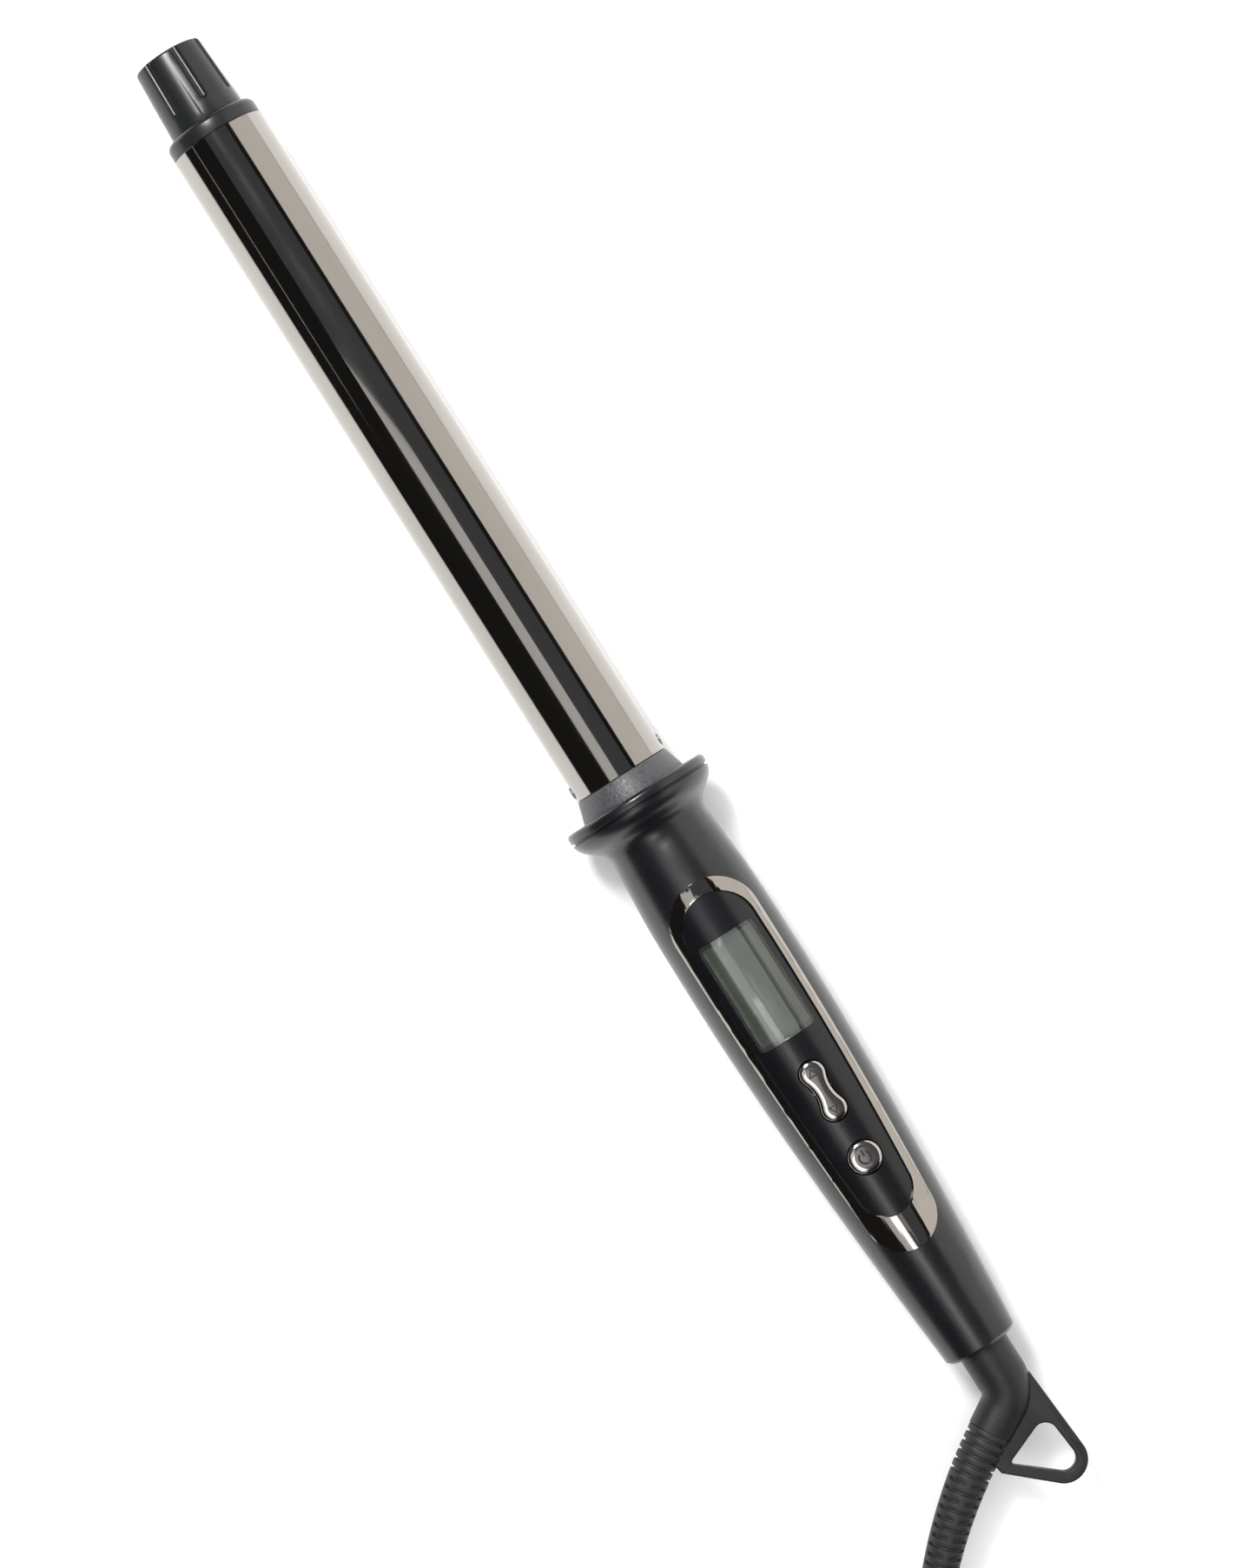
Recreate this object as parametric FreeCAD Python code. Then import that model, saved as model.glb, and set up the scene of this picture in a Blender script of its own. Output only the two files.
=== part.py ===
"""A curling wand with a swivel cord, lying on a flat surface.

The wand is built about its own long axis, X, with x = 0 on the front face of the guard ring:
the cool tip is at -X, the cord at +X, the control panel faces +Z. At the end everything moves
so that the origin lies under the middle of the wand, on the surface that it rests on.
Lengths are millimetres and angles are degrees.
"""
import FreeCAD, Part
import math
import os

from FreeCAD import Vector

# ---------------------------------------------------------------- driving dimensions
# barrel and tip
barrel_radius = 12.5
barrel_wall = 1.0
barrel_length = 185.7
tip_collar_radius = 12.25
tip_collar_length = 4.2
cap_length = 19.3
cap_end_radius = 9.0
cap_base_radius = 9.9
cap_wall = 1.8
flute_count = 7
flute_width = 2.4
flute_depth = 0.7
flute_margin = 4.1          # plain length between a flute and the tip collar
first_flute_angle = -14.0   # from straight up, positive towards -Y
fit_gap = 0.05              # between pieces that slide together once, when assembled

spigot_length = 8.4         # of the base collar, inside the barrel
barrel_screw_x = -8.3
screw_head_depth = 0.8      # sunk into the barrel's wall
screw_head_proud = 0.2      # and rounded like the barrel

# heater
heater_thickness = 4.0
film_thickness = 0.2
spreader_wall = 1.5
lead_radius = 0.8

# base collar and guard ring
cone_length = 5.6           # tapered part of the base collar, in front of the guard ring
cone_front_radius = 12.6
cone_rear_radius = 14.3
collar_tail_radius = 11.2
collar_bore_radius = 8.6
collar_tail_length = 13.5   # behind the guard ring's front face
rib_x, rib_width, rib_height = 10.4, 1.8, 0.8
rim_radius = 19.6
guard_thickness = 2.4
guard_groove = 0.6          # shadow groove between guard ring and handle
groove_depth = 0.7
rim_rounding = 1.1

# handle
handle_length = 160.0       # front face of the guard ring to the rear end of the handle
shell_wall = 2.2
waist_radius = 13.5
belly_radius = 14.95
tail_radius = 9.7

# trim ring, control panel and what shows through it
trim_front, trim_rear = 25.6, 130.1
trim_front_half, trim_rear_half, trim_bulge = 11.55, 9.0, 0.7
panel_front, panel_rear = 29.4, 120.5
panel_front_half, panel_rear_half, panel_bulge = 9.7, 7.3, 0.8
trim_depth = 1.2
trim_proud = 0.5
lens_front, lens_length, lens_width = 40.2, 29.9, 15.5
lens_corner = 1.3
lens_depth = 1.5
lens_proud = 0.4
key_proud = 0.8
key_gap = 0.35              # between a key and its hole in the panel
rocker_x = 85.3
lobe_radius = 3.2
lobe_offset = 4.95
waist_half = 2.2            # half width of the rocker key's waist
pivot_height = 9.6
pivot_radius = 0.75
power_x = 104.4
power_radius = 4.15
power_flange_top = 9.9
key_underside = 11.3
ear_inner, ear_width = 2.9, 1.5
display_top = 10.8          # upper face of the LCD glass

# circuit board and switches
board_front, board_rear = 27.0, 121.0
board_half_width = 8.6
board_bottom, board_thickness = 2.0, 1.6
board_lead_height = 4.4
switch_size = 6.0
switch_height = 3.5
plunger_radius = 1.7
plunger_rise = 0.9          # above the switch body
plunger_depth = 1.3         # bore in the switch body
plunger_sunk = 0.8          # part of that depth that the released plunger fills
contact_gap = 0.03          # between a key's foot and its plunger
foot_offset = 5.5           # rocker pivot to each of its switches
foot_radius = 1.3

# fasteners
board_screw_places = (33.0, 116.0)
handle_screw_front = 19.0
boss_radius = 3.0
shank_radius = 1.1
screw_reach = 5.0           # handle screws' ends above the parting plane
board_screw_radius = 0.9

# swivel at the handle's rear end
neck_radius = 6.5
journal_radius = 6.0
bush_radius = 8.0
bush_length = 7.0
bush_inset = 2.5            # handle's end to the bush
running_gap = 0.05
mouth_gap = 0.4             # round the neck where it leaves the handle
clip_radius, clip_thickness = 7.5, 1.2
spool_radius, spool_length = 4.0, 12.0
slip_ring_width, slip_ring_height = 2.4, 0.6

# elbow, hanging eye and strain relief
elbow_x = 13.6              # handle's end to the corner of the elbow
leg_angle = 60.0            # between the wand's axis and the leg, towards -Y
leg_length = 11.2
leg_radius = 5.6
eye_thickness = 4.0
eye_nose_x, eye_nose_y, eye_nose_radius = 34.5, 2.0, 6.0    # from the handle's end and the axis
relief_length = 50.0
relief_start_radius, relief_end_radius = 5.3, 4.1
relief_bend_radius = 113.0
relief_drop_share = 0.43    # how much of the bend is downwards, the rest is towards +X
rib_pitch, rib_groove, rib_groove_depth = 2.35, 0.7, 0.6

# cord, coil, tie and plug
cord_radius = 3.0
coil_pitch = 6.1
coil_outer = 49.1           # radius of the outermost turn's centre line
coil_inner = 24.1
coil_centre_offset = (72.6, 20.8)   # from the strain relief's end, in plan
tie_thickness = 0.8
tie_width = 12.0
plug_length, plug_width, plug_thickness = 35.0, 26.0, 13.7
plug_boot_length = 20.0
pin_radius, pin_length, pin_spacing = 2.0, 19.0, 18.6

# ---------------------------------------------------------------- places worked out from them
barrel_rear = -cone_length
barrel_front = barrel_rear - barrel_length
barrel_bore = barrel_radius - barrel_wall
tip_collar_front = barrel_front - tip_collar_length
cap_front = tip_collar_front - cap_length
shell_front = guard_thickness + guard_groove
board_top = board_bottom + board_thickness
switch_top = board_top + switch_height
plunger_top = switch_top + plunger_rise
bush_rear = handle_length - bush_inset
bush_front = bush_rear - bush_length
clip_front = bush_front - 0.5 - clip_thickness
spool_front = clip_front - spool_length
handle_screw_rear = spool_front - 6.0
elbow_corner = Vector(handle_length + elbow_x, 0, 0)
leg_direction = Vector(math.cos(math.radians(leg_angle)), -math.sin(math.radians(leg_angle)), 0)

X, Y, Z = Vector(1, 0, 0), Vector(0, 1, 0), Vector(0, 0, 1)
far = 40.0                  # beyond anything that a cut has to clear

pieces = {}


# ---------------------------------------------------------------- plain shapes
def rod(x0, x1, radius, y=0.0, z=0.0):
    """A cylinder along X."""
    return Part.makeCylinder(radius, x1 - x0, Vector(x0, y, z), X)


def tube(x0, x1, outer, inner):
    return rod(x0, x1, outer).cut(rod(x0 - 1, x1 + 1, inner))


def taper(x0, x1, r0, r1):
    return Part.makeCone(r0, r1, x1 - x0, Vector(x0, 0, 0), X)


def post(x, y, z0, z1, radius):
    """A cylinder along Z."""
    return Part.makeCylinder(radius, z1 - z0, Vector(x, y, z0), Z)


def block(x0, x1, y0, y1, z0, z1):
    return Part.makeBox(x1 - x0, y1 - y0, z1 - z0, Vector(x0, y0, z0))


def turned(edges):
    """A solid turned about X from an outline in the XY plane."""
    return Part.Face(Part.Wire(edges)).revolve(Vector(0, 0, 0), X, 360)


def flat(x, y):
    return Vector(x, y, 0)


def polar(centre, radius, angle):
    turn = math.radians(angle)
    return centre + Vector(radius * math.cos(turn), radius * math.sin(turn), 0)


def line(a, b):
    return Part.LineSegment(a, b).toShape()


def arc(a, b, c):
    return Part.Arc(a, b, c).toShape()


def upright_prism(edges, z0, z1):
    """A closed outline in the XY plane, raised from z0 to z1."""
    face = Part.Face(Part.Wire(edges))
    face.translate(Vector(0, 0, z0))
    return face.extrude(Vector(0, 0, z1 - z0))


def rounded_rectangle(x0, x1, half_width, corner):
    plate = block(x0, x1, -half_width, half_width, 0, far)
    return plate.makeFillet(corner, [e for e in plate.Edges if abs(e.BoundBox.ZLength - far) < 1e-6])


def bent_rod(points, radius):
    """A rod along straight runs joined by arcs as large as the runs allow, and the arcs' radii."""
    points = [Vector(*p) for p in points]
    edges, bends, start = [], [], points[0]
    for before, corner, after in zip(points, points[1:], points[2:]):
        into, out = (corner - before).normalize(), (after - corner).normalize()
        turn = into.getAngle(out)
        reach = 0.45 * min((corner - before).Length, (after - corner).Length)
        bend = reach / math.tan(turn / 2)
        a, c = corner - into * reach, corner + out * reach
        middle = (out - into).normalize()
        b = corner + middle * (bend / math.cos(turn / 2) - bend)
        edges += [line(start, a), arc(a, b, c)]
        bends.append(round(bend, 1))
        start = c
    edges.append(line(start, points[-1]))
    path = Part.Wire(edges)
    section = Part.Wire(Part.makeCircle(radius, points[0], (points[1] - points[0]).normalize()))
    solid = path.makePipeShell([section], True, True)
    print(f"  volume {solid.Volume:.0f}, section times length {math.pi * radius ** 2 * path.Length:.0f}")
    return solid, bends, path.Length


# ---------------------------------------------------------------- handle outline
def grip_curve(grow):
    """The handle's silhouette from rim to tail, moved outwards by grow."""
    stations = [
        (shell_front, rim_radius - 0.1), (shell_front + 1.5, rim_radius - 0.6),
        (shell_front + 3.6, rim_radius - 2.4), (shell_front + 5.4, waist_radius + 1.35),
        (shell_front + 7.8, waist_radius), (shell_front + 12.0, waist_radius + 0.15),
        (20.0, waist_radius + 0.5), (27.0, belly_radius - 0.45), (40.0, belly_radius - 0.1),
        (58.0, belly_radius - 0.03), (80.0, belly_radius - 0.5), (112.0, belly_radius - 1.95),
        (handle_length - 20.0, tail_radius + 1.5), (handle_length - 0.8, tail_radius)]
    curve = Part.BSplineCurve()
    curve.interpolate([flat(x, r + grow) for x, r in stations])
    return curve


def grip_body(grow, rear=0.0):
    """Everything inside the handle's silhouette, moved outwards by grow."""
    curve = grip_curve(grow)
    start, end = curve.StartPoint, curve.EndPoint
    x_end = handle_length + rear
    return turned([
        curve.toShape(), line(end, flat(x_end, end.y - 0.8)),
        line(flat(x_end, end.y - 0.8), flat(x_end, 0)), line(flat(x_end, 0), flat(start.x, 0)),
        line(flat(start.x, 0), start)])


def plan_outline(front, rear, front_half, rear_half, bulge):
    """A long oval in plan: round ends and slightly bowed sides."""
    a, b = front + front_half, rear - rear_half
    mid_x, mid_y = (a + b) / 2, (front_half + rear_half) / 2 + bulge
    return [
        arc(flat(a, front_half), flat(front, 0), flat(a, -front_half)),
        arc(flat(a, -front_half), flat(mid_x, -mid_y), flat(b, -rear_half)),
        arc(flat(b, -rear_half), flat(rear, 0), flat(b, rear_half)),
        arc(flat(b, rear_half), flat(mid_x, mid_y), flat(a, front_half))]


def trim_prism():
    return upright_prism(
        plan_outline(trim_front, trim_rear, trim_front_half, trim_rear_half, trim_bulge), 1.0, far)


def panel_prism():
    return upright_prism(
        plan_outline(panel_front, panel_rear, panel_front_half, panel_rear_half, panel_bulge), 1.0, far)


def rocker_outline(gap):
    """Two round lobes joined by a waist, all grown by gap."""
    lobe, waist = lobe_radius + gap, waist_half + gap
    hollow = (lobe_offset ** 2 + waist ** 2 - lobe ** 2) / (2 * (lobe - waist))
    reach = lobe + hollow
    tx = lobe_offset - lobe * lobe_offset / reach
    ty = lobe * (waist + hollow) / reach
    tip = lobe_offset + lobe
    return [
        arc(flat(-tx, ty), flat(-tip, 0), flat(-tx, -ty)),
        arc(flat(-tx, -ty), flat(0, -waist), flat(tx, -ty)),
        arc(flat(tx, -ty), flat(tip, 0), flat(tx, ty)),
        arc(flat(tx, ty), flat(0, waist), flat(-tx, ty))]


def rocker_prism(gap, z0):
    prism = upright_prism(rocker_outline(gap), z0, far)
    prism.translate(Vector(rocker_x, 0, 0))
    return prism


# ---------------------------------------------------------------- barrel and tip
def front_edges(solid, x):
    return [e for e in solid.Edges if e.BoundBox.XLength < 1e-3 and abs(e.BoundBox.XMin - x) < 1e-3]


def make_tip():
    cap = taper(cap_front, tip_collar_front, cap_end_radius, cap_base_radius)
    cap = cap.makeFillet(0.8, front_edges(cap, cap_front))
    cap = cap.cut(taper(cap_front + cap_wall, tip_collar_front + 1, cap_end_radius - cap_wall,
                        cap_base_radius - cap_wall))
    cap = cap.fuse(rod(cap_front + cap_wall / 2, tip_collar_front, boss_radius))
    slope = Vector(cap_length, 0, cap_base_radius - cap_end_radius).normalize()
    groove_radius = flute_width / 2
    start = Vector(cap_front, 0, cap_end_radius + groove_radius - flute_depth) - slope * 2
    groove_length = cap_length - flute_margin - groove_radius + 2
    for k in range(flute_count):
        groove = Part.makeCylinder(groove_radius, groove_length, start, slope)
        groove = groove.fuse(Part.makeSphere(groove_radius, start + slope * groove_length))
        groove.rotate(Vector(0, 0, 0), X, first_flute_angle + 360.0 * k / flute_count)
        cap = cap.cut(groove)
    thread_end = cap_front + cap_wall + 6.0
    pieces["cool_tip"] = cap.cut(rod(thread_end, tip_collar_front + 1, shank_radius))

    ring = rod(tip_collar_front, barrel_front, tip_collar_radius)
    ring = ring.makeFillet(1.6, front_edges(ring, tip_collar_front))
    spigot = tube(barrel_front, barrel_front + 5.0, barrel_bore - fit_gap, barrel_bore - 2.5)
    hole = rod(tip_collar_front - 1, barrel_front + 1, shank_radius)
    pieces["tip_collar"] = ring.fuse(spigot).cut(hole)
    head = rod(barrel_front, barrel_front + 2.0, 2.8)
    pieces["tip_screw"] = head.fuse(rod(thread_end + 0.5, barrel_front, shank_radius))


def make_barrel():
    barrel = tube(barrel_front, barrel_rear, barrel_radius, barrel_bore)
    collar = taper(barrel_rear, 0, cone_front_radius, cone_rear_radius)
    collar = collar.fuse(rod(barrel_rear - spigot_length, barrel_rear, barrel_bore - fit_gap))
    collar = collar.fuse(rod(0, collar_tail_length, collar_tail_radius))
    collar = collar.fuse(rod(rib_x, rib_x + rib_width, collar_tail_radius + rib_height))
    collar = collar.cut(rod(barrel_rear - spigot_length - 1, collar_tail_length + 1, collar_bore_radius))
    screws = []
    for side in (1, -1):
        seat = Vector(barrel_screw_x, side * (collar_bore_radius + 0.4), 0)
        out = Vector(0, side, 0)
        shank = Part.makeCylinder(0.9, barrel_radius - seat.y * side, seat, out)
        head = Part.makeCylinder(1.7, screw_head_depth + 1,
                                 Vector(barrel_screw_x, side * (barrel_radius - screw_head_depth), 0), out)
        head = head.common(rod(barrel_screw_x - 3, barrel_screw_x + 3, barrel_radius + screw_head_proud))
        screws.append(shank.fuse(head))
    screws = Part.makeCompound(screws)
    pieces["barrel"] = barrel.cut(screws)
    pieces["base_collar"] = collar.cut(screws)
    pieces["barrel_screws"] = screws


def make_heater():
    """A ceramic plate between two half-round aluminium blocks that fill the barrel."""
    x0, x1 = barrel_front + 12.0, barrel_rear - spigot_length - 10.0
    round_bar = rod(x0, x1, barrel_bore - 0.2)
    gap = heater_thickness / 2 + film_thickness
    core = rod(x0 - 1, x1 + 1, barrel_bore - 0.2 - spreader_wall)
    web = gap + spreader_wall
    for name, side in (("upper", 1), ("lower", -1)):
        hollow = core.common(block(x0 - 1, x1 + 1, -far, far, *sorted((side * web, side * far))))
        half_bar = round_bar.common(block(x0, x1, -far, far, *sorted((side * gap, side * far))))
        pieces[f"heat_spreader_{name}"] = half_bar.cut(hollow)
    h0, h1 = x0 + 25.0, x1 - 30.0
    half_width, half_height = 6.5, heater_thickness / 2
    plate = block(h0, h1, -half_width, half_width, -half_height, half_height)
    sleeve = block(h0 - 4, h1 + 4, -half_width - film_thickness, half_width + film_thickness, -gap, gap)
    sleeve = sleeve.cut(block(h0 - 5, h1 + 5, -half_width, half_width, -half_height, half_height))
    pieces["ptc_heater"] = plate
    pieces["insulation_film"] = sleeve
    pieces["thermistor"] = rod(x1, x1 + 4.0, 1.2, 0, -6.0).fuse(
        Part.makeSphere(1.2, Vector(x1 + 4.0, 0, -6.0)))
    pieces["thermal_fuse"] = rod(x1, x1 + 8.0, 2.0, 0, 6.0)
    leads = []
    for side in (1, -1):
        lead, _, _ = bent_rod([(h1 + 0.1, side * 3.0, 0), (h1 + 25, side * 3.0, 0.4), (-4.0, side * 5.0, 0.4),
                               (18.0, side * 5.2, 2.4), (board_front, side * 5.0, board_lead_height)],
                              lead_radius)
        leads.append(lead)
    pieces["heater_leads"] = Part.makeCompound(leads)


# ---------------------------------------------------------------- handle
def make_guard_ring():
    rim = rim_radius
    r = rim_rounding
    groove = rim - groove_depth
    bore = collar_tail_radius + fit_gap
    k = r * (1 - math.sqrt(0.5))
    pieces["guard_ring"] = turned([
        line(flat(0, bore), flat(0, rim - r)), arc(flat(0, rim - r), flat(k, rim - k), flat(r, rim)),
        line(flat(r, rim), flat(guard_thickness, rim)),
        line(flat(guard_thickness, rim), flat(guard_thickness, groove)),
        line(flat(guard_thickness, groove), flat(shell_front, groove)),
        line(flat(shell_front, groove), flat(shell_front, bore)),
        line(flat(shell_front, bore), flat(0, bore))])


def handle_cavity():
    """What is hollow inside both shells, from the base collar's tail to the mouth round the neck."""
    x0 = collar_tail_length
    main = grip_body(-shell_wall).common(block(x0, spool_front + spool_length, -far, far, -far, far))
    hollows = [
        rod(shell_front - 1, x0 + 0.5, collar_tail_radius + fit_gap),
        rod(rib_x, rib_x + rib_width, collar_tail_radius + rib_height + fit_gap),
        rod(spool_front + spool_length - 1, bush_front + 0.5, bush_radius),
        rod(bush_front, bush_rear, bush_radius),
        rod(bush_rear - 0.5, handle_length + 1, neck_radius + mouth_gap)]
    return main.multiFuse(hollows)


def make_handle():
    body = grip_body(0.0).cut(handle_cavity())
    upper = body.common(block(-far, handle_length + far, -far, far, 0, far))
    lower = body.common(block(-far, handle_length + far, -far, far, -far, 0))
    inside = grip_body(-shell_wall / 2)

    screws = []
    for x, depth in ((handle_screw_front, 5.2), (handle_screw_rear, 4.8)):
        outer_radius = surface_radius(x)
        seat = -(outer_radius - depth)
        upper_boss = post(x, 0, 0, far, boss_radius).common(inside)
        lower_boss = post(x, 0, -far, 0, boss_radius).common(inside)
        head = post(x, 0, seat - 1.8, seat, 2.2)
        screw = head.fuse(post(x, 0, seat, screw_reach, shank_radius))
        upper = upper.fuse(upper_boss).cut(post(x, 0, -1, screw_reach + 1.0, shank_radius))
        lower = lower.fuse(lower_boss).cut(post(x, 0, seat - 1, 1, shank_radius + 0.4))
        lower = lower.cut(post(x, 0, -far, seat, 2.5))
        screws.append(screw)
    pocket = trim_prism().cut(grip_body(-trim_depth))
    upper = upper.cut(pocket).cut(panel_prism())
    for x in board_screw_places:
        stand = post(x, 0, -far, board_bottom, 2.4).common(inside)
        lower = lower.fuse(stand).cut(post(x, 0, board_bottom - 6.0, far, board_screw_radius))
    pieces["handle_upper_shell"] = upper
    pieces["handle_lower_shell"] = lower
    pieces["handle_screws"] = Part.makeCompound(screws)


def surface_radius(x):
    """The handle's outer radius at x."""
    cut = grip_body(0.0).common(block(x - 0.01, x + 0.01, -far, far, -far, far))
    return cut.BoundBox.ZMax


def make_panel():
    between = trim_prism().cut(panel_prism())
    pieces["bezel_trim"] = between.common(grip_body(trim_proud)).cut(grip_body(-trim_depth))

    panel = panel_prism().common(grip_body(0.0)).cut(grip_body(-shell_wall))
    for side in (1, -1):
        y0, y1 = sorted((side * ear_inner, side * (ear_inner + ear_width)))
        ear = block(rocker_x - 1.6, rocker_x + 1.6, y0, y1, pivot_height - 1.7, far)
        panel = panel.fuse(ear.common(grip_body(-shell_wall / 2)))
    lens_rear = lens_front + lens_length
    lens = rounded_rectangle(lens_front, lens_rear, lens_width / 2, lens_corner)
    panel = panel.cut(lens)
    panel = panel.cut(rocker_prism(key_gap, pivot_height - 3.0))
    panel = panel.cut(post(power_x, 0, pivot_height, far, power_radius + key_gap))
    pin_end = ear_inner + ear_width
    pin = Part.makeCylinder(pivot_radius, 2 * pin_end, Vector(rocker_x, -pin_end, pivot_height), Y)
    pieces["control_panel"] = panel.cut(pin)
    pieces["rocker_pivot_pin"] = pin
    pieces["display_lens"] = lens.common(grip_body(lens_proud)).cut(grip_body(-lens_depth))


def make_keys():
    hub_half = waist_half
    rocker = rocker_prism(0.0, key_underside).common(grip_body(key_proud))
    hub = block(rocker_x - 1.5, rocker_x + 1.5, -hub_half, hub_half, pivot_height - 1.5, key_underside + 1)
    rocker = rocker.fuse(hub)
    foot_end = plunger_top + contact_gap
    for side in (1, -1):
        foot_x, foot_ball = rocker_x + side * foot_offset, foot_end + foot_radius
        rocker = rocker.fuse(post(foot_x, 0, foot_ball, key_underside + 1, foot_radius))
        rocker = rocker.fuse(Part.makeSphere(foot_radius, Vector(foot_x, 0, foot_ball)))
    bore = Part.makeCylinder(pivot_radius + running_gap, 2 * hub_half + 2,
                             Vector(rocker_x, -hub_half - 1, pivot_height), Y)
    pieces["rocker_key"] = rocker.cut(bore)

    power = post(power_x, 0, power_flange_top, far, power_radius).common(grip_body(key_proud))
    power = power.fuse(post(power_x, 0, power_flange_top - 0.9, power_flange_top, power_radius + 0.5))
    pieces["power_key"] = power.fuse(post(power_x, 0, foot_end, power_flange_top, foot_radius))


# ---------------------------------------------------------------- electronics
def make_switch(x):
    half = switch_size / 2
    body = block(x - half, x + half, -half, half, board_top, switch_top)
    body = body.cut(post(x, 0, switch_top - plunger_depth, switch_top + 1, plunger_radius + running_gap))
    plunger = post(x, 0, switch_top - plunger_sunk, plunger_top, plunger_radius)
    return body, plunger


def make_electronics():
    board = block(board_front, board_rear, -board_half_width, board_half_width, board_bottom, board_top)
    screws = []
    for x in board_screw_places:
        board = board.cut(post(x, 0, 0, far, board_screw_radius + 0.2))
        screws.append(post(x, 0, board_bottom - 5.0, board_top, board_screw_radius).fuse(
            post(x, 0, board_top, board_top + 1.3, 1.9)))
    pieces["circuit_board"] = board
    pieces["board_screws"] = Part.makeCompound(screws)

    front_switch, pieces["front_plunger"] = make_switch(rocker_x - foot_offset)
    rear_switch, pieces["rear_plunger"] = make_switch(rocker_x + foot_offset)
    pieces["temperature_switches"] = Part.makeCompound([front_switch, rear_switch])
    pieces["power_switch"], pieces["power_plunger"] = make_switch(power_x)

    x0, x1 = lens_front + 0.6, lens_front + lens_length - 0.6
    half = lens_width / 2 - 1.0
    top = display_top
    pieces["lcd_module"] = block(x0, x1, -half, half, top - 2.2, top)
    pieces["lcd_backlight"] = block(x0 + 1, x1 - 1, -half + 1.8, half - 1.8, board_top, top - 2.2)
    strips = [block(x0 + 1, x1 - 1, *sorted((s * (half - 1.4), s * half)), board_top, top - 2.2)
              for s in (1, -1)]
    pieces["zebra_strips"] = Part.makeCompound(strips)

    under = board_bottom
    pieces["film_capacitor"] = block(44.0, 62.0, -4.0, 4.0, under - 9.5, under)
    pieces["triac"] = block(72.0, 87.0, -5.0, 5.0, under - 4.5, under)
    pieces["board_fuse"] = rod(92.0, 108.0, 2.5, 0, under - 2.5)
    pieces["microcontroller"] = block(108.5, 113.0, -4.5, 4.5, board_top, board_top + 1.2)


# ---------------------------------------------------------------- swivel
def make_swivel_seat():
    pieces["swivel_bush"] = tube(bush_front, bush_rear, bush_radius, journal_radius + running_gap)
    brush_reach = spool_radius + slip_ring_height + running_gap
    holder = block(spool_front, spool_front + spool_length - 1, -2.5, 2.5, -far, -brush_reach - 1.2)
    pieces["brush_holder"] = holder.common(grip_body(-shell_wall))
    brushes = [block(x + 0.4, x + slip_ring_width - 0.4, -1.6, 1.6, -brush_reach - 1.2, -brush_reach)
               for x in slip_ring_places()]
    pieces["contact_brushes"] = Part.makeCompound(brushes)
    leads = []
    for side in (1, -1):
        lead, _, _ = bent_rod([(board_rear, side * 4.0, board_lead_height), (board_rear + 5, side * 4.2, 1.8),
                               (handle_screw_rear, side * 5.0, -2.5), (spool_front + 2.0, side * 3.4, -6.6)],
                              lead_radius)
        leads.append(lead)
    pieces["mains_leads"] = Part.makeCompound(leads)


def slip_ring_places():
    return [spool_front + 2.0, spool_front + 2.0 + slip_ring_width + 1.8]


def make_elbow():
    corner, down_leg = elbow_corner, leg_direction
    neck = rod(bush_rear + 0.1, corner.x, neck_radius)
    knee = Part.makeSphere(neck_radius, corner)
    leg = Part.makeCone(neck_radius, leg_radius, leg_length, corner, down_leg)
    journal = rod(clip_front - 0.6, bush_rear + 0.1, journal_radius)
    spool = rod(spool_front, clip_front, spool_radius)
    elbow = neck.multiFuse([knee, leg, journal, spool])
    groove = tube(clip_front, clip_front + clip_thickness, far, journal_radius - 1.0)
    return elbow.cut(groove)


def make_eye():
    """The flat triangular hanging eye in the crook of the elbow."""
    x, half = handle_length, eye_thickness / 2
    nose = flat(x + eye_nose_x, eye_nose_y)
    top_end, low_start = polar(nose, eye_nose_radius, 95), polar(nose, eye_nose_radius, -45)
    inner, low_end, heel = flat(x + 9.0, 0), flat(x + 29.2, -12.8), flat(x + 22.0, -14.2)
    outline = [line(inner, flat(x + 12.0, 6.4)), line(flat(x + 12.0, 6.4), top_end),
               arc(top_end, polar(nose, eye_nose_radius, 25), low_start),
               line(low_start, low_end), line(low_end, heel), line(heel, inner)]
    corners = ((flat(x + 27.2, 1.3), 3.2, 97, 197), (flat(x + 28.6, -8.3), 0.9, 200, 318),
               (flat(x + 34.4, 2.1), 3.1, -42, 97))
    arcs = [(polar(c, r, start), polar(c, r, (start + end) / 2), polar(c, r, end))
            for c, r, start, end in corners]
    hole = []
    for this, after in zip(arcs, arcs[1:] + arcs[:1]):
        hole += [arc(*this), line(this[2], after[0])]
    return upright_prism(outline, -half, half).cut(upright_prism(hole, -far, far))


def relief_frame(s):
    """Centre and direction of the strain relief's centre line, s from its start."""
    plan = Vector(-leg_direction.y, leg_direction.x, 0)
    share = relief_drop_share
    inward = plan * math.sqrt(1 - share ** 2) - Z * share
    turn = s / relief_bend_radius
    start = elbow_corner + leg_direction * leg_length
    centre = start + (leg_direction * math.sin(turn) + inward * (1 - math.cos(turn))) * relief_bend_radius
    return centre, (leg_direction * math.cos(turn) + inward * math.sin(turn)).normalize()


def relief_radius(s):
    return relief_start_radius + (relief_end_radius - relief_start_radius) * s / relief_length


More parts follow.
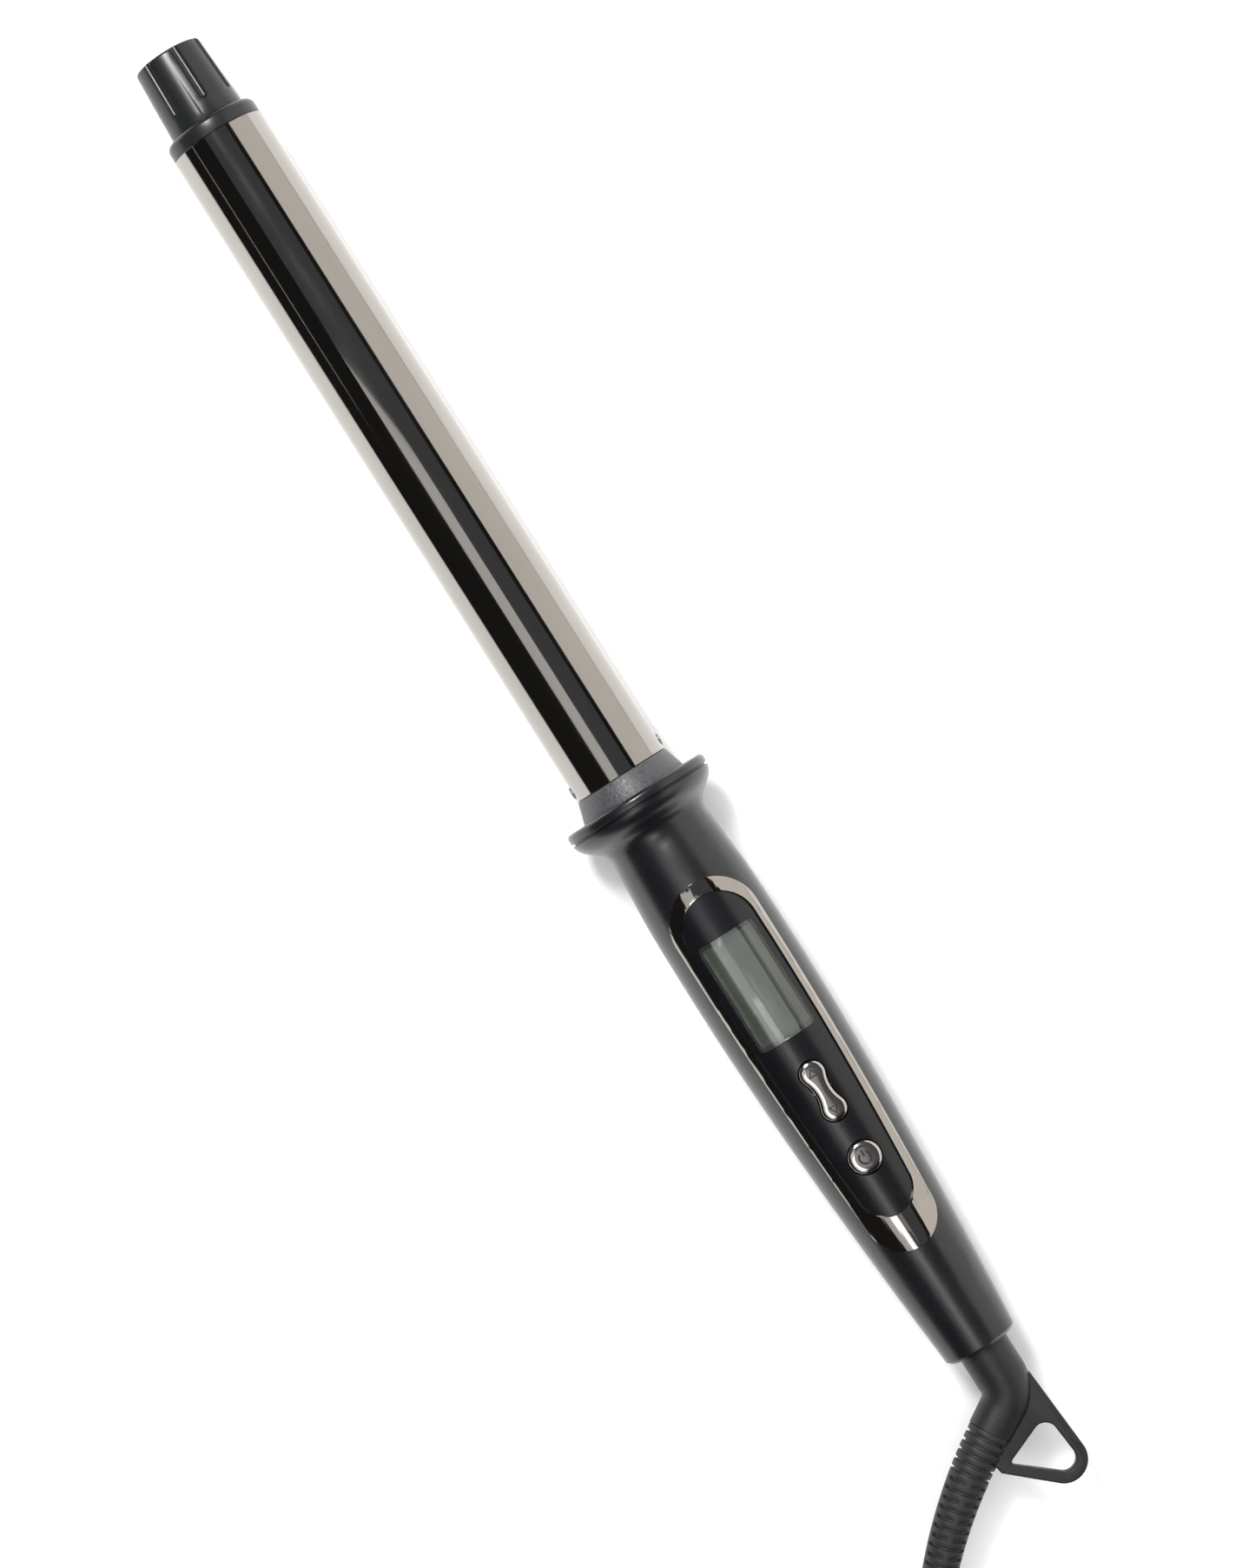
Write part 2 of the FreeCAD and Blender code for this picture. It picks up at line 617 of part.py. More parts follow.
def make_relief():
    sections = []
    steps = 8
    for k in range(steps + 1):
        s = relief_length * k / steps
        centre, along = relief_frame(s)
        sections.append(Part.Wire(Part.makeCircle(relief_radius(s), centre, along)))
    relief = Part.makeLoft(sections, True)
    s = rib_pitch
    while s < relief_length - rib_pitch / 2:
        centre, along = relief_frame(s)
        start = centre - along * (rib_groove / 2)
        ring = Part.makeCylinder(far / 4, rib_groove, start, along).cut(
            Part.makeCylinder(relief_radius(s) - rib_groove_depth, rib_groove + 2, start - along, along))
        relief = relief.cut(ring)
        s += rib_pitch
    return relief


def make_swivel():
    relief = make_relief()
    elbow = make_elbow().fuse(make_eye())
    pieces["swivel_elbow"] = elbow.cut(relief)
    pieces["strain_relief"] = relief
    clip = tube(clip_front, clip_front + clip_thickness, clip_radius, journal_radius - 1.0)
    mouth = block(clip_front - 1, clip_front + 2, -(journal_radius - 2.5), journal_radius - 2.5, 0, far)
    pieces["retaining_clip"] = clip.cut(mouth)
    rings = [tube(x, x + slip_ring_width, spool_radius + slip_ring_height, spool_radius)
             for x in slip_ring_places()]
    pieces["slip_rings"] = Part.makeCompound(rings)


# ---------------------------------------------------------------- cord, coil, tie and plug
def make_cord():
    """The lead down to the surface, the coil, the tail on top of it, the tie and the plug."""
    floor = -rim_radius
    exit_point, exit_way = relief_frame(relief_length)
    ex, ey = exit_point.x, exit_point.y
    low = floor + tie_thickness + cord_radius
    cx, cy = ex + coil_centre_offset[0], ey + coil_centre_offset[1]
    lead, bends, length = bent_rod([
        tuple(exit_point), tuple(exit_point + exit_way * 19.0),
        (ex + 37.0, ey - 23.3, low + 3.2), (ex + 55.0, ey - 27.6, low + 0.8),
        (ex + 72.6, ey - 28.3, low)], cord_radius)
    print("  cord lead: bend radii", bends, "length", round(length, 1))

    edge = cord_radius + 0.3
    coil_top = low + coil_pitch + cord_radius
    coil_base = floor + tie_thickness
    coil = Part.makeCylinder(coil_outer + edge, coil_top - coil_base, Vector(cx, cy, coil_base), Z).cut(
        Part.makeCylinder(coil_inner - edge, far, Vector(cx, cy, coil_base - 1), Z))
    pieces["cord_coil"] = coil
    pieces["cord_lead"] = lead.cut(coil)

    plug_axis = coil_top + 0.1 + plug_thickness / 2
    boot_x, boot_y = cx - 3.8, cy - 24.0
    second, over = low + coil_pitch, coil_top + 0.1 + cord_radius
    tail, bends, length = bent_rod([
        (cx + 48.9, cy - 6.0, second - 0.3), (cx + 48.0, cy + 9.6, second + 1.5),
        (cx + 37.9, cy + 31.0, second + 4.6), (cx + 18.9, cy + 45.2, over), (cx - 4.5, cy + 48.7, over),
        (cx - 26.9, cy + 40.9, over), (cx - 39.4, cy + 27.4, over), (cx - 44.0, cy + 15.1, over),
        (cx - 43.6, cy + 2.1, over + 0.3), (cx - 38.4, cy - 9.9, over + 1.3),
        (cx - 29.0, cy - 19.1, over + 2.9), (cx - 16.9, boot_y, plug_axis),
        (boot_x, boot_y, plug_axis)], cord_radius)
    print("  cord tail: bend radii", bends, "length", round(length, 1))
    pieces["cord_tail"] = max(tail.cut(coil).Solids, key=lambda solid: solid.Volume)

    body_x = boot_x + plug_boot_length
    boot = Part.makeCone(cord_radius + 0.7, 5.2, plug_boot_length, Vector(boot_x, boot_y, plug_axis), X)
    body = block(body_x, body_x + plug_length, boot_y - plug_width / 2, boot_y + plug_width / 2,
                 plug_axis - plug_thickness / 2, plug_axis + plug_thickness / 2)
    body = body.makeFillet(4.0, [e for e in body.Edges if e.BoundBox.XLength > plug_length / 2])
    pieces["plug_body"] = body.fuse(boot)
    pins = []
    for side in (1, -1):
        start = Vector(body_x + plug_length, boot_y + side * pin_spacing / 2, plug_axis)
        pin = Part.makeCylinder(pin_radius, pin_length - pin_radius / 2, start, X)
        nose = Part.makeCone(pin_radius, pin_radius / 2, pin_radius / 2,
                             start + X * (pin_length - pin_radius / 2), X)
        pins.append(pin.fuse(nose))
    pieces["plug_pins"] = Part.makeCompound(pins)

    y0, y1 = cy + coil_inner - edge - 1.2, cy + coil_outer + edge + 0.1
    z0, z1 = floor + tie_thickness, over + cord_radius + 0.2
    t = tie_thickness
    outside = block(cx - tie_width / 2, cx + tie_width / 2, y0 - t, y1 + t, z0 - t, z1 + t)
    pieces["coil_tie"] = outside.cut(block(cx - tie_width, cx + tie_width, y0, y1, z0, z1))


# ---------------------------------------------------------------- build and export
for make in (make_tip, make_barrel, make_heater, make_guard_ring, make_handle, make_panel, make_keys,
             make_electronics, make_swivel_seat, make_swivel, make_cord):
    make()

tail_end = handle_length + eye_nose_x + eye_nose_radius
shift = Vector(-(cap_front + tail_end) / 2, 0, rim_radius)
os.makedirs("parts", exist_ok=True)
for name, shape in pieces.items():
    if len(shape.Solids) == 1:
        shape = shape.Solids[0]
    shape.translate(shift)
    shape.exportStep(f"parts/{name}.step")
    print(f"{name}: {len(shape.Solids)} solids, {shape.Volume:.0f} mm3, valid {shape.isValid()}")
print(f"{len(pieces)} nodes; whole moved by {shift.x:.2f}, {shift.z:.2f}")
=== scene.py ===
import bpy, math
from mathutils import Matrix, Vector


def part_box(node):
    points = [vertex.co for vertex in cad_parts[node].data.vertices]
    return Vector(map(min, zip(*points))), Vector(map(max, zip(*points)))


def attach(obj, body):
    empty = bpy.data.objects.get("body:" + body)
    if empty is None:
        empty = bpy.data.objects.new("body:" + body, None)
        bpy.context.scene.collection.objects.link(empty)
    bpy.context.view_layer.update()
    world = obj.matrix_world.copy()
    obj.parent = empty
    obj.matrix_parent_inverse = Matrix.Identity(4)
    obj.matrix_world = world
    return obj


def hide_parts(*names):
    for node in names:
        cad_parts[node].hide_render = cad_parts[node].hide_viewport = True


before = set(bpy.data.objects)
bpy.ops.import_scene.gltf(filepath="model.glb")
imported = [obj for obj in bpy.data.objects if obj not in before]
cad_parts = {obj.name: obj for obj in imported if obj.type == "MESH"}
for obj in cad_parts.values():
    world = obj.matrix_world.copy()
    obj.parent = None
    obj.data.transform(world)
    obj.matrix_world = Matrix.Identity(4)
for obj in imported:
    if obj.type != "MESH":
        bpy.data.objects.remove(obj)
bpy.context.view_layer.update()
mm = 0.001
axisHeight = 19.6          # mm, the wand's own axis above the surface it lies on
samePlace = 1e-6           # m, points closer than this are one


# small helpers
def linearColour(code):
    parts = [int(code[i:i + 2], 16) / 255 for i in (1, 3, 5)]
    return [c / 12.92 if c <= 0.04045 else ((c + 0.055) / 1.055) ** 2.4 for c in parts] + [1.0]


def deselectAll():
    if bpy.context.object and bpy.context.object.mode != "OBJECT":
        bpy.ops.object.mode_set(mode="OBJECT")
    bpy.ops.object.select_all(action="DESELECT")


def makeActive(piece):
    deselectAll()
    piece.select_set(True)
    bpy.context.view_layer.objects.active = piece


def editAll(piece):
    makeActive(piece)
    bpy.ops.object.mode_set(mode="EDIT")
    bpy.ops.mesh.select_all(action="SELECT")


def pickParts(piece, kind, test):
    # selects the corners or faces that pass the test, and stays in edit mode
    makeActive(piece)
    bpy.ops.object.mode_set(mode="EDIT")
    bpy.ops.mesh.select_mode(type=kind)
    bpy.ops.mesh.select_all(action="DESELECT")
    bpy.ops.object.mode_set(mode="OBJECT")
    for part in piece.data.vertices if kind == "VERT" else piece.data.polygons:
        part.select = test(part)
    bpy.ops.object.mode_set(mode="EDIT")


def applyModifier(piece, kind, **settings):
    makeActive(piece)
    modifier = piece.modifiers.new(kind.lower(), kind)
    for key, value in settings.items():
        setattr(modifier, key, value)
    bpy.ops.object.modifier_apply(modifier=modifier.name)


def roundEdges(piece, width, segments, angle):
    applyModifier(piece, "BEVEL", width=width * mm, segments=segments, limit_method="ANGLE",
                  angle_limit=math.radians(angle))


def cutBox(piece, location, size, rotation=(0, 0, 0)):
    # takes a box out of the piece
    deselectAll()
    bpy.ops.mesh.primitive_cube_add(size=1, location=location, rotation=rotation, scale=size)
    cutter = bpy.context.object
    applyModifier(piece, "BOOLEAN", operation="DIFFERENCE", object=cutter, solver="EXACT")
    bpy.data.objects.remove(cutter)


def placePiece(piece, location, turn=(0, 0, 0)):
    # location in mm, turn in degrees, both ending up in the mesh
    makeActive(piece)
    piece.location = [c * mm for c in location]
    piece.rotation_euler = [math.radians(a) for a in turn]
    bpy.ops.object.transform_apply(location=True, rotation=True, scale=True)


def joinPieces(pieces):
    deselectAll()
    for piece in pieces:
        piece.select_set(True)
    bpy.context.view_layer.objects.active = pieces[0]
    bpy.ops.object.join()
    return pieces[0]


def finishPiece(piece, name, body, material, nodes=(), smooth=35):
    editAll(piece)
    bpy.ops.mesh.remove_doubles(threshold=samePlace)
    bpy.ops.mesh.normals_make_consistent(inside=False)
    bpy.ops.object.mode_set(mode="OBJECT")
    bpy.ops.object.shade_smooth_by_angle(angle=math.radians(smooth))
    piece.name = name
    piece.data.materials.clear()
    piece.data.materials.append(material)
    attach(piece, body)
    if nodes:
        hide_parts(*nodes)
    return piece


def growRings(stations, sides, closed=False):
    # a turned shape along X: one ring at each (place, radius) in mm, grown out of the one before
    deselectAll()
    place, radius = stations[0]
    bpy.ops.mesh.primitive_circle_add(vertices=sides, radius=radius * mm, location=(place * mm, 0, 0),
                                      rotation=(0, math.pi / 2, 0), fill_type="NOTHING" if closed else "NGON")
    piece = bpy.context.object
    editAll(piece)
    for (xa, ra), (xb, rb) in zip(stations, stations[1:]):
        bpy.ops.mesh.extrude_region_move(TRANSFORM_OT_translate={"value": ((xb - xa) * mm, 0, 0)})
        if rb != ra:
            bpy.ops.transform.resize(value=(1, rb / ra, rb / ra), center_override=(xb * mm, 0, 0))
    bpy.ops.object.mode_set(mode="OBJECT")
    bpy.ops.object.transform_apply(location=True, rotation=True, scale=True)
    return piece


def plateFromOutline(rims, **settings):
    # a flat plate at z = 0 whose rims go through the points, in mm
    data = bpy.data.curves.new("outline", "CURVE")
    data.dimensions, data.fill_mode = "2D", "BOTH"
    for key, value in settings.items():
        setattr(data, key, value)
    for rim in rims:
        spline = data.splines.new("POLY")
        spline.points.add(len(rim) - 1)
        for point, (x, y) in zip(spline.points, rim):
            point.co = (x * mm, y * mm, 0, 1)
        spline.use_cyclic_u = True
    plate = bpy.data.objects.new("outline", data)
    bpy.context.scene.collection.objects.link(plate)
    makeActive(plate)
    bpy.ops.object.convert(target="MESH")
    return bpy.context.object


def arcPoints(start, middle, end, count):
    # count points on the circle through three points, without the last one
    (ax, ay), (bx, by), (cx, cy) = start, middle, end
    d = 2 * (ax * (by - cy) + bx * (cy - ay) + cx * (ay - by))
    a2, b2, c2 = ax * ax + ay * ay, bx * bx + by * by, cx * cx + cy * cy
    ux = (a2 * (by - cy) + b2 * (cy - ay) + c2 * (ay - by)) / d
    uy = (a2 * (cx - bx) + b2 * (ax - cx) + c2 * (bx - ax)) / d
    radius = math.hypot(ax - ux, ay - uy)
    first, mid, last = (math.atan2(y - uy, x - ux) for x, y in (start, middle, end))
    turn = (last - first) % (2 * math.pi)
    if (mid - first) % (2 * math.pi) > turn:
        turn -= 2 * math.pi
    angles = [first + turn * k / count for k in range(count)]
    return [(ux + radius * math.cos(angle), uy + radius * math.sin(angle)) for angle in angles]


# camera: looks straight down on the panel, the wand running from top left to bottom right
cameraSettings = {"target": (4.05, 0.13, axisHeight), "distance": 1068.5, "lens": 99.67, "sensor": 36,
                  "roll": 57.684, "lean": 1.7}


def addCamera():
    data = bpy.data.cameras.new("camera")
    data.lens, data.sensor_width = cameraSettings["lens"], cameraSettings["sensor"]
    camera = bpy.data.objects.new("camera", data)
    bpy.context.scene.collection.objects.link(camera)
    camera.matrix_world = (
        Matrix.Translation(Vector(cameraSettings["target"]) * mm)
        @ Matrix.Rotation(math.radians(cameraSettings["lean"]), 4, "X")
        @ Matrix.Rotation(math.radians(cameraSettings["roll"]), 4, "Z")
        @ Matrix.Translation((0, 0, cameraSettings["distance"] * mm)))
    bpy.context.scene.camera = camera


addCamera()
print("camera set")


# materials
def addNode(tree, kind, values=None, links=None, **settings):
    node = tree.nodes.new("ShaderNode" + kind)
    for key, value in settings.items():
        setattr(node, key, value)
    for key, value in (values or {}).items():
        node.inputs[key].default_value = value
    for key, source in (links or {}).items():
        tree.links.new(source, node.inputs[key])
    return node


def newMaterial(name, values):
    material = bpy.data.materials.new(name)
    material.use_nodes = True
    shader = material.node_tree.nodes["Principled BSDF"]
    for key, value in values.items():
        shader.inputs[key].default_value = value
    return material, material.node_tree, shader


def perMm(size):
    # noise scale for a pattern that repeats about every size mm
    return 1000 / size


def makeFinish(name, dark, light, roughness, spread, blotch, grain, depth, stretch=(1, 1, 1), **values):
    # colour drifts between dark and light over blotch mm, roughness varies by spread,
    # and a grain of that many mm stands depth mm high
    material, tree, shader = newMaterial(name, values)
    place = addNode(tree, "TexCoord").outputs["Object"]
    place = addNode(tree, "Mapping", {"Scale": stretch}, {"Vector": place}).outputs["Vector"]
    drift = addNode(tree, "TexNoise", {"Scale": perMm(blotch), "Detail": 4.0, "Roughness": 0.6},
                    {"Vector": place})
    mix = addNode(tree, "Mix", {6: linearColour(dark), 7: linearColour(light)},
                  {0: drift.outputs["Fac"]}, data_type="RGBA")     # 6 and 7 are its two colours
    tree.links.new(mix.outputs[2], shader.inputs["Base Color"])
    fine = addNode(tree, "TexNoise", {"Scale": perMm(grain), "Detail": 3.0, "Roughness": 0.55},
                   {"Vector": place})
    wear = addNode(tree, "MapRange", {"From Min": 0.3, "From Max": 0.7, "To Min": roughness - spread,
                                      "To Max": roughness + spread}, {"Value": drift.outputs["Fac"]})
    tree.links.new(wear.outputs["Result"], shader.inputs["Roughness"])
    bump = addNode(tree, "Bump", {"Strength": 1.0, "Distance": depth * mm}, {"Height": fine.outputs["Fac"]})
    tree.links.new(bump.outputs["Normal"], shader.inputs["Normal"])
    return material


finishes = {
    # titanium nitride coating on a polished tube: a dark warm mirror, with a haze that runs along it
    "titaniumMirror": dict(dark="#9b9792", light="#a9a5a0", roughness=0.075, spread=0.03, blotch=6,
                           grain=0.5, depth=0.0006, stretch=(0.15, 1, 1), Metallic=1.0),
    # glass-filled nylon, moulded satin: soft grey highlights
    "satinNylon": dict(dark="#18191a", light="#1f2021", roughness=0.3, spread=0.02, blotch=5,
                       grain=0.2, depth=0.001),
    # nylon from a spark-eroded mould: a dry grain that sparkles a little, drawn coarser and deeper
    # than the real one, which would be too fine to show
    "sparkedNylon": dict(dark="#17181a", light="#58595d", roughness=0.42, spread=0.15, blotch=0.9,
                         grain=0.6, depth=0.15, **{"Specular IOR Level": 0.7}),
    # soft-sheen ABS: nearly black, with a broad smooth highlight
    "satinAbs": dict(dark="#0d0e10", light="#131417", roughness=0.29, spread=0.03, blotch=12,
                     grain=0.22, depth=0.0012, **{"Specular IOR Level": 0.7}),
    # semi-gloss ABS panel, a touch shinier than the handle
    "panelAbs": dict(dark="#0c0d0f", light="#101114", roughness=0.25, spread=0.03, blotch=9,
                     grain=0.2, depth=0.001),
    # dark nickel-chrome plating: a warm grey mirror
    "darkNickelChrome": dict(dark="#a29c96", light="#b0aaa4", roughness=0.07, spread=0.02, blotch=4,
                             grain=0.6, depth=0.0008, Metallic=1.0),
    # brighter plating of the keys
    "keyChrome": dict(dark="#c0bab5", light="#cdc7c2", roughness=0.12, spread=0.02, blotch=2,
                      grain=0.4, depth=0.001, Metallic=1.0),
    # moulded nylon elbow: matt, with an even grain that is drawn coarser than real so that it shows
    "grainedElbow": dict(dark="#141517", light="#1b1c1e", roughness=0.45, spread=0.05, blotch=4,
                         grain=0.45, depth=0.07),
    # thermoplastic rubber: matt, with a dusty bloom in soft patches
    "reliefRubber": dict(dark="#1b1c1e", light="#252628", roughness=0.55, spread=0.06, blotch=2.5,
                         grain=0.35, depth=0.02),
    # extruded PVC sheath: smooth with a dull shine
    "cordPvc": dict(dark="#0f1012", light="#17181a", roughness=0.42, spread=0.05, blotch=8,
                    grain=0.5, depth=0.004),
    # moulded PVC of the plug
    "plugPvc": dict(dark="#101113", light="#17181a", roughness=0.45, spread=0.05, blotch=5,
                    grain=0.3, depth=0.008),
    # nickel plating on brass pins
    "plugNickel": dict(dark="#b9b5ac", light="#cfcbc2", roughness=0.2, spread=0.05, blotch=2,
                       grain=0.4, depth=0.001, Metallic=1.0),
    # zinc-plated steel, turned and a little dull
    "zincSteel": dict(dark="#6e7074", light="#8a8c90", roughness=0.33, spread=0.08, blotch=1.5,
                      grain=0.2, depth=0.003, Metallic=1.0),
    # extruded aluminium with drawn lines along it
    "drawnAluminium": dict(dark="#a9abae", light="#bfc1c4", roughness=0.38, spread=0.08, blotch=1.2,
                           grain=0.25, depth=0.004, stretch=(0.05, 1, 1), Metallic=1.0),
    # sintered ceramic: chalky off-white
    "sinteredCeramic": dict(dark="#d8d3c6", light="#e6e2d8", roughness=0.7, spread=0.08, blotch=2,
                            grain=0.3, depth=0.01),
    # polyimide film: amber and slick
    "polyimideFilm": dict(dark="#a8701c", light="#c28a2e", roughness=0.25, spread=0.06, blotch=3,
                          grain=0.6, depth=0.003),
    # white moulded polycarbonate
    "whiteMoulding": dict(dark="#d9d8d2", light="#e6e5e0", roughness=0.4, spread=0.05, blotch=4,
                          grain=0.3, depth=0.003),
    # solder mask over glass cloth: green and even, with a faint unevenness
    "solderMask": dict(dark="#1a5230", light="#236a3d", roughness=0.35, spread=0.06, blotch=2,
                       grain=0.5, depth=0.006),
    # black moulded epoxy
    "blackEpoxy": dict(dark="#17181a", light="#222326", roughness=0.55, spread=0.08, blotch=1.5,
                       grain=0.15, depth=0.008),
    # dipped box capacitor
    "capacitorBox": dict(dark="#84271c", light="#9a3325", roughness=0.3, spread=0.05, blotch=4,
                         grain=0.5, depth=0.003),
    # silicone insulation: soft and dusty
    "siliconeRubber": dict(dark="#8d8d90", light="#a0a0a3", roughness=0.6, spread=0.08, blotch=2,
                           grain=0.3, depth=0.006),
    # turned brass: warm, with a fine uneven sheen
    "turnedBrass": dict(dark="#b08c45", light="#c8a65c", roughness=0.28, spread=0.06, blotch=1.5,
                        grain=0.12, depth=0.002, Metallic=1.0),
    # natural acetal: milky and waxy
    "naturalAcetal": dict(dark="#dcdcd6", light="#e8e8e3", roughness=0.38, spread=0.04, blotch=3,
                          grain=0.4, depth=0.003),
}
finish = {name: makeFinish(name, **settings) for name, settings in finishes.items()}


def makeLens():
    # injection-moulded clear polycarbonate: clear, with faint flow lines along it
    material, tree, shader = newMaterial("clearPolycarbonate", {
        "Base Color": linearColour("#f0f2f0"), "Roughness": 0.03, "IOR": 1.58, "Transmission Weight": 1.0})
    place = addNode(tree, "TexCoord").outputs["Object"]
    place = addNode(tree, "Mapping", {"Scale": (0.08, 1, 1)}, {"Vector": place}).outputs["Vector"]
    flow = addNode(tree, "TexNoise", {"Scale": perMm(2.2), "Detail": 2.0}, {"Vector": place})
    bump = addNode(tree, "Bump", {"Strength": 0.6, "Distance": 0.006 * mm}, {"Height": flow.outputs["Fac"]})
    tree.links.new(bump.outputs["Normal"], shader.inputs["Normal"])
    return material


def makeLcd():
    # reflective liquid-crystal cell: grey-green, its unlit electrodes faint streaks along it
    material, tree, shader = newMaterial("lcdCell", {"Roughness": 0.5, "Specular IOR Level": 0.2})
    place = addNode(tree, "TexCoord").outputs["Object"]
    streaked = addNode(tree, "Mapping", {"Scale": (0.06, 1, 1)}, {"Vector": place}).outputs["Vector"]
    streak = addNode(tree, "TexNoise", {"Scale": perMm(2.6), "Detail": 3.0}, {"Vector": streaked})
    speck = addNode(tree, "TexNoise", {"Scale": perMm(0.35), "Detail": 2.0}, {"Vector": place})
    both = addNode(tree, "Math", {1: 0.35}, {0: speck.outputs["Fac"], 2: streak.outputs["Fac"]},
                   operation="MULTIPLY_ADD")           # 0.35: how much the specks count beside the streaks
    ramp = addNode(tree, "ValToRGB", links={"Fac": both.outputs[0]})
    ramp.color_ramp.elements[0].position = 0.45
    ramp.color_ramp.elements[1].position = 0.9
    ramp.color_ramp.elements[0].color = linearColour("#333730")
    ramp.color_ramp.elements[1].color = linearColour("#5e6459")
    tree.links.new(ramp.outputs["Color"], shader.inputs["Base Color"])
    return material


def makeStrap():
    # woven hook-and-loop strap: dull, with crossing bands. Its threads are about 0.6 mm apart, too fine
    # to show, and a wave at this scale repeats every 2 pi times that, 3.8 mm
    material, tree, shader = newMaterial("wovenStrap", {"Roughness": 0.8, "Sheen Weight": 0.3})
    place = addNode(tree, "TexCoord").outputs["Object"]
    bands = {"Scale": perMm(0.6) / 20, "Distortion": 0.4}
    across = addNode(tree, "TexWave", bands, {"Vector": place}, bands_direction="X")
    along = addNode(tree, "TexWave", bands, {"Vector": place}, bands_direction="DIAGONAL")
    weave = addNode(tree, "Math", links={0: across.outputs["Fac"], 1: along.outputs["Fac"]},
                    operation="MULTIPLY")
    ramp = addNode(tree, "ValToRGB", links={"Fac": weave.outputs[0]})
    ramp.color_ramp.elements[0].color = linearColour("#0d0d0f")
    ramp.color_ramp.elements[1].color = linearColour("#2b2b2e")
    tree.links.new(ramp.outputs["Color"], shader.inputs["Base Color"])
    bump = addNode(tree, "Bump", {"Strength": 1.0, "Distance": 0.1 * mm}, {"Height": weave.outputs[0]})
    tree.links.new(bump.outputs["Normal"], shader.inputs["Normal"])
    return material


finish["clearPolycarbonate"], finish["lcdCell"], finish["wovenStrap"] = makeLens(), makeLcd(), makeStrap()
print("materials made:", len(finish))

# cord: leaves the strain relief, drops to the surface, is wound into a coil and ends in its plug
# the tail's points are from the coil's centre; climb is in turns on either side of the innermost point
cordSettings = {
    "radius": 3.0, "exit": (219.051, -46.689, 14.92),
    "lead": [(234.0, -57.89, 11.42), (256.05, -69.99, 7.0), (274.05, -74.29, 4.6)],
    "coilCentre": (291.65, -25.89), "start": -90, "outer": 49.1, "pitch": 6.1, "turns": 4.11,
    "lower": 3.8, "upper": 9.9, "climb": 0.25, "perTurn": 16,
    "tail": [(48.9, -6.0, 9.6), (48.0, 9.6, 11.4), (37.9, 31.0, 14.5), (18.9, 45.2, 16.0),
             (-4.5, 48.7, 16.0), (-26.9, 40.9, 16.0), (-39.4, 27.4, 16.0), (-44.0, 15.1, 16.0),
             (-43.6, 2.1, 16.3), (-38.4, -9.9, 17.3), (-29.0, -19.1, 18.9), (-16.9, -24.0, 19.85),
             (-3.8, -24.0, 19.85)]}


def cordRoute():
    s = cordSettings
    cx, cy = s["coilCentre"]
    points = [s["exit"]] + s["lead"]
    half = s["turns"] * s["perTurn"]
    for k in range(int(2 * half) + 1):         # winds in on the lower layer, out again on the upper one
        past = (k - half) / s["perTurn"]       # turns past the innermost point
        angle = math.radians(s["start"] + 360 * k / s["perTurn"])
        radius = s["outer"] - s["pitch"] * (s["turns"] - abs(past))
        climb = math.sin(math.pi / 2 * min(max(past / s["climb"], -1), 1))
        height = (s["lower"] + s["upper"]) / 2 + climb * (s["upper"] - s["lower"]) / 2
        points.append((cx + radius * math.cos(angle), cy + radius * math.sin(angle), height))
    return points + [(cx + x, cy + y, z) for x, y, z in s["tail"]]


def makeCord():
    route = cordRoute()
    data = bpy.data.curves.new("cord", "CURVE")
    data.dimensions = "3D"
    spline = data.splines.new("NURBS")
    spline.points.add(len(route) - 1)
    for point, place in zip(spline.points, route):
        point.co = [c * mm for c in place] + [1.0]
    spline.order_u = 3
    spline.use_endpoint_u = True
    data.resolution_u = 6
    data.bevel_depth = cordSettings["radius"] * mm
    data.bevel_resolution = 6
    data.use_fill_caps = True
    data.materials.append(finish["cordPvc"])
    cord = bpy.data.objects.new("cord", data)
    bpy.context.scene.collection.objects.link(cord)
    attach(cord, "cord_assembly")
    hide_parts("cord_lead", "cord_coil", "cord_tail")
    return cord


cord = makeCord()
print("cord made")

# barrel
barrelSettings = {"front": -184.15, "rear": 1.55, "radius": 12.5, "bore": 11.5, "edge": 0.25, "sides": 256}


def makeBarrel():
    s = barrelSettings
    front, rear, bore, radius, edge = s["front"], s["rear"], s["bore"], s["radius"], s["edge"]
    outline = [(front, bore), (front, radius - edge), (front + edge, radius),
               (rear - edge, radius), (rear, radius - edge), (rear, bore), (front, bore)]
    barrel = growRings(outline, s["sides"], closed=True)
    placePiece(barrel, (0, 0, axisHeight))
    finishPiece(barrel, "polishedBarrel", "wand", finish["titaniumMirror"], ["barrel"])


makeBarrel()
# dome: each ring's height as a share of the crown, and its radius as a share of the head's
screwSettings = {"x": -1.15, "headRadius": 1.7, "crown": 0.42, "sunk": 0.9, "rim": 0.02,
                 "dome": [(0.45, 0.93), (0.8, 0.7), (1.0, 0.35)], "sides": 48, "edge": 0.05,
                 "slotWidth": 0.42, "slotLength": 2.2, "slotDepth": 0.5, "slotTurn": 20}


def makeBarrelScrews():
    s = screwSettings
    radius, crown = s["headRadius"], s["crown"]
    profile = [(-s["sunk"], radius), (s["rim"], radius)]
    profile += [(crown * up, radius * out) for up, out in s["dome"]]
    slot = [2 * s["slotDepth"] * mm, s["slotLength"] * mm, s["slotWidth"] * mm]
    heads = []
    for side in (1, -1):
        head = growRings(profile, s["sides"])
        for turn in (s["slotTurn"], s["slotTurn"] + 90):
            cutBox(head, (crown * mm, 0, 0), slot, (math.radians(turn), 0, 0))
        roundEdges(head, s["edge"], 2, 40)
        placePiece(head, (s["x"], side * barrelSettings["radius"], axisHeight), (0, 0, side * 90))
        heads.append(head)
    finishPiece(joinPieces(heads), "barrelScrews", "wand", finish["zincSteel"], ["barrel_screws"])


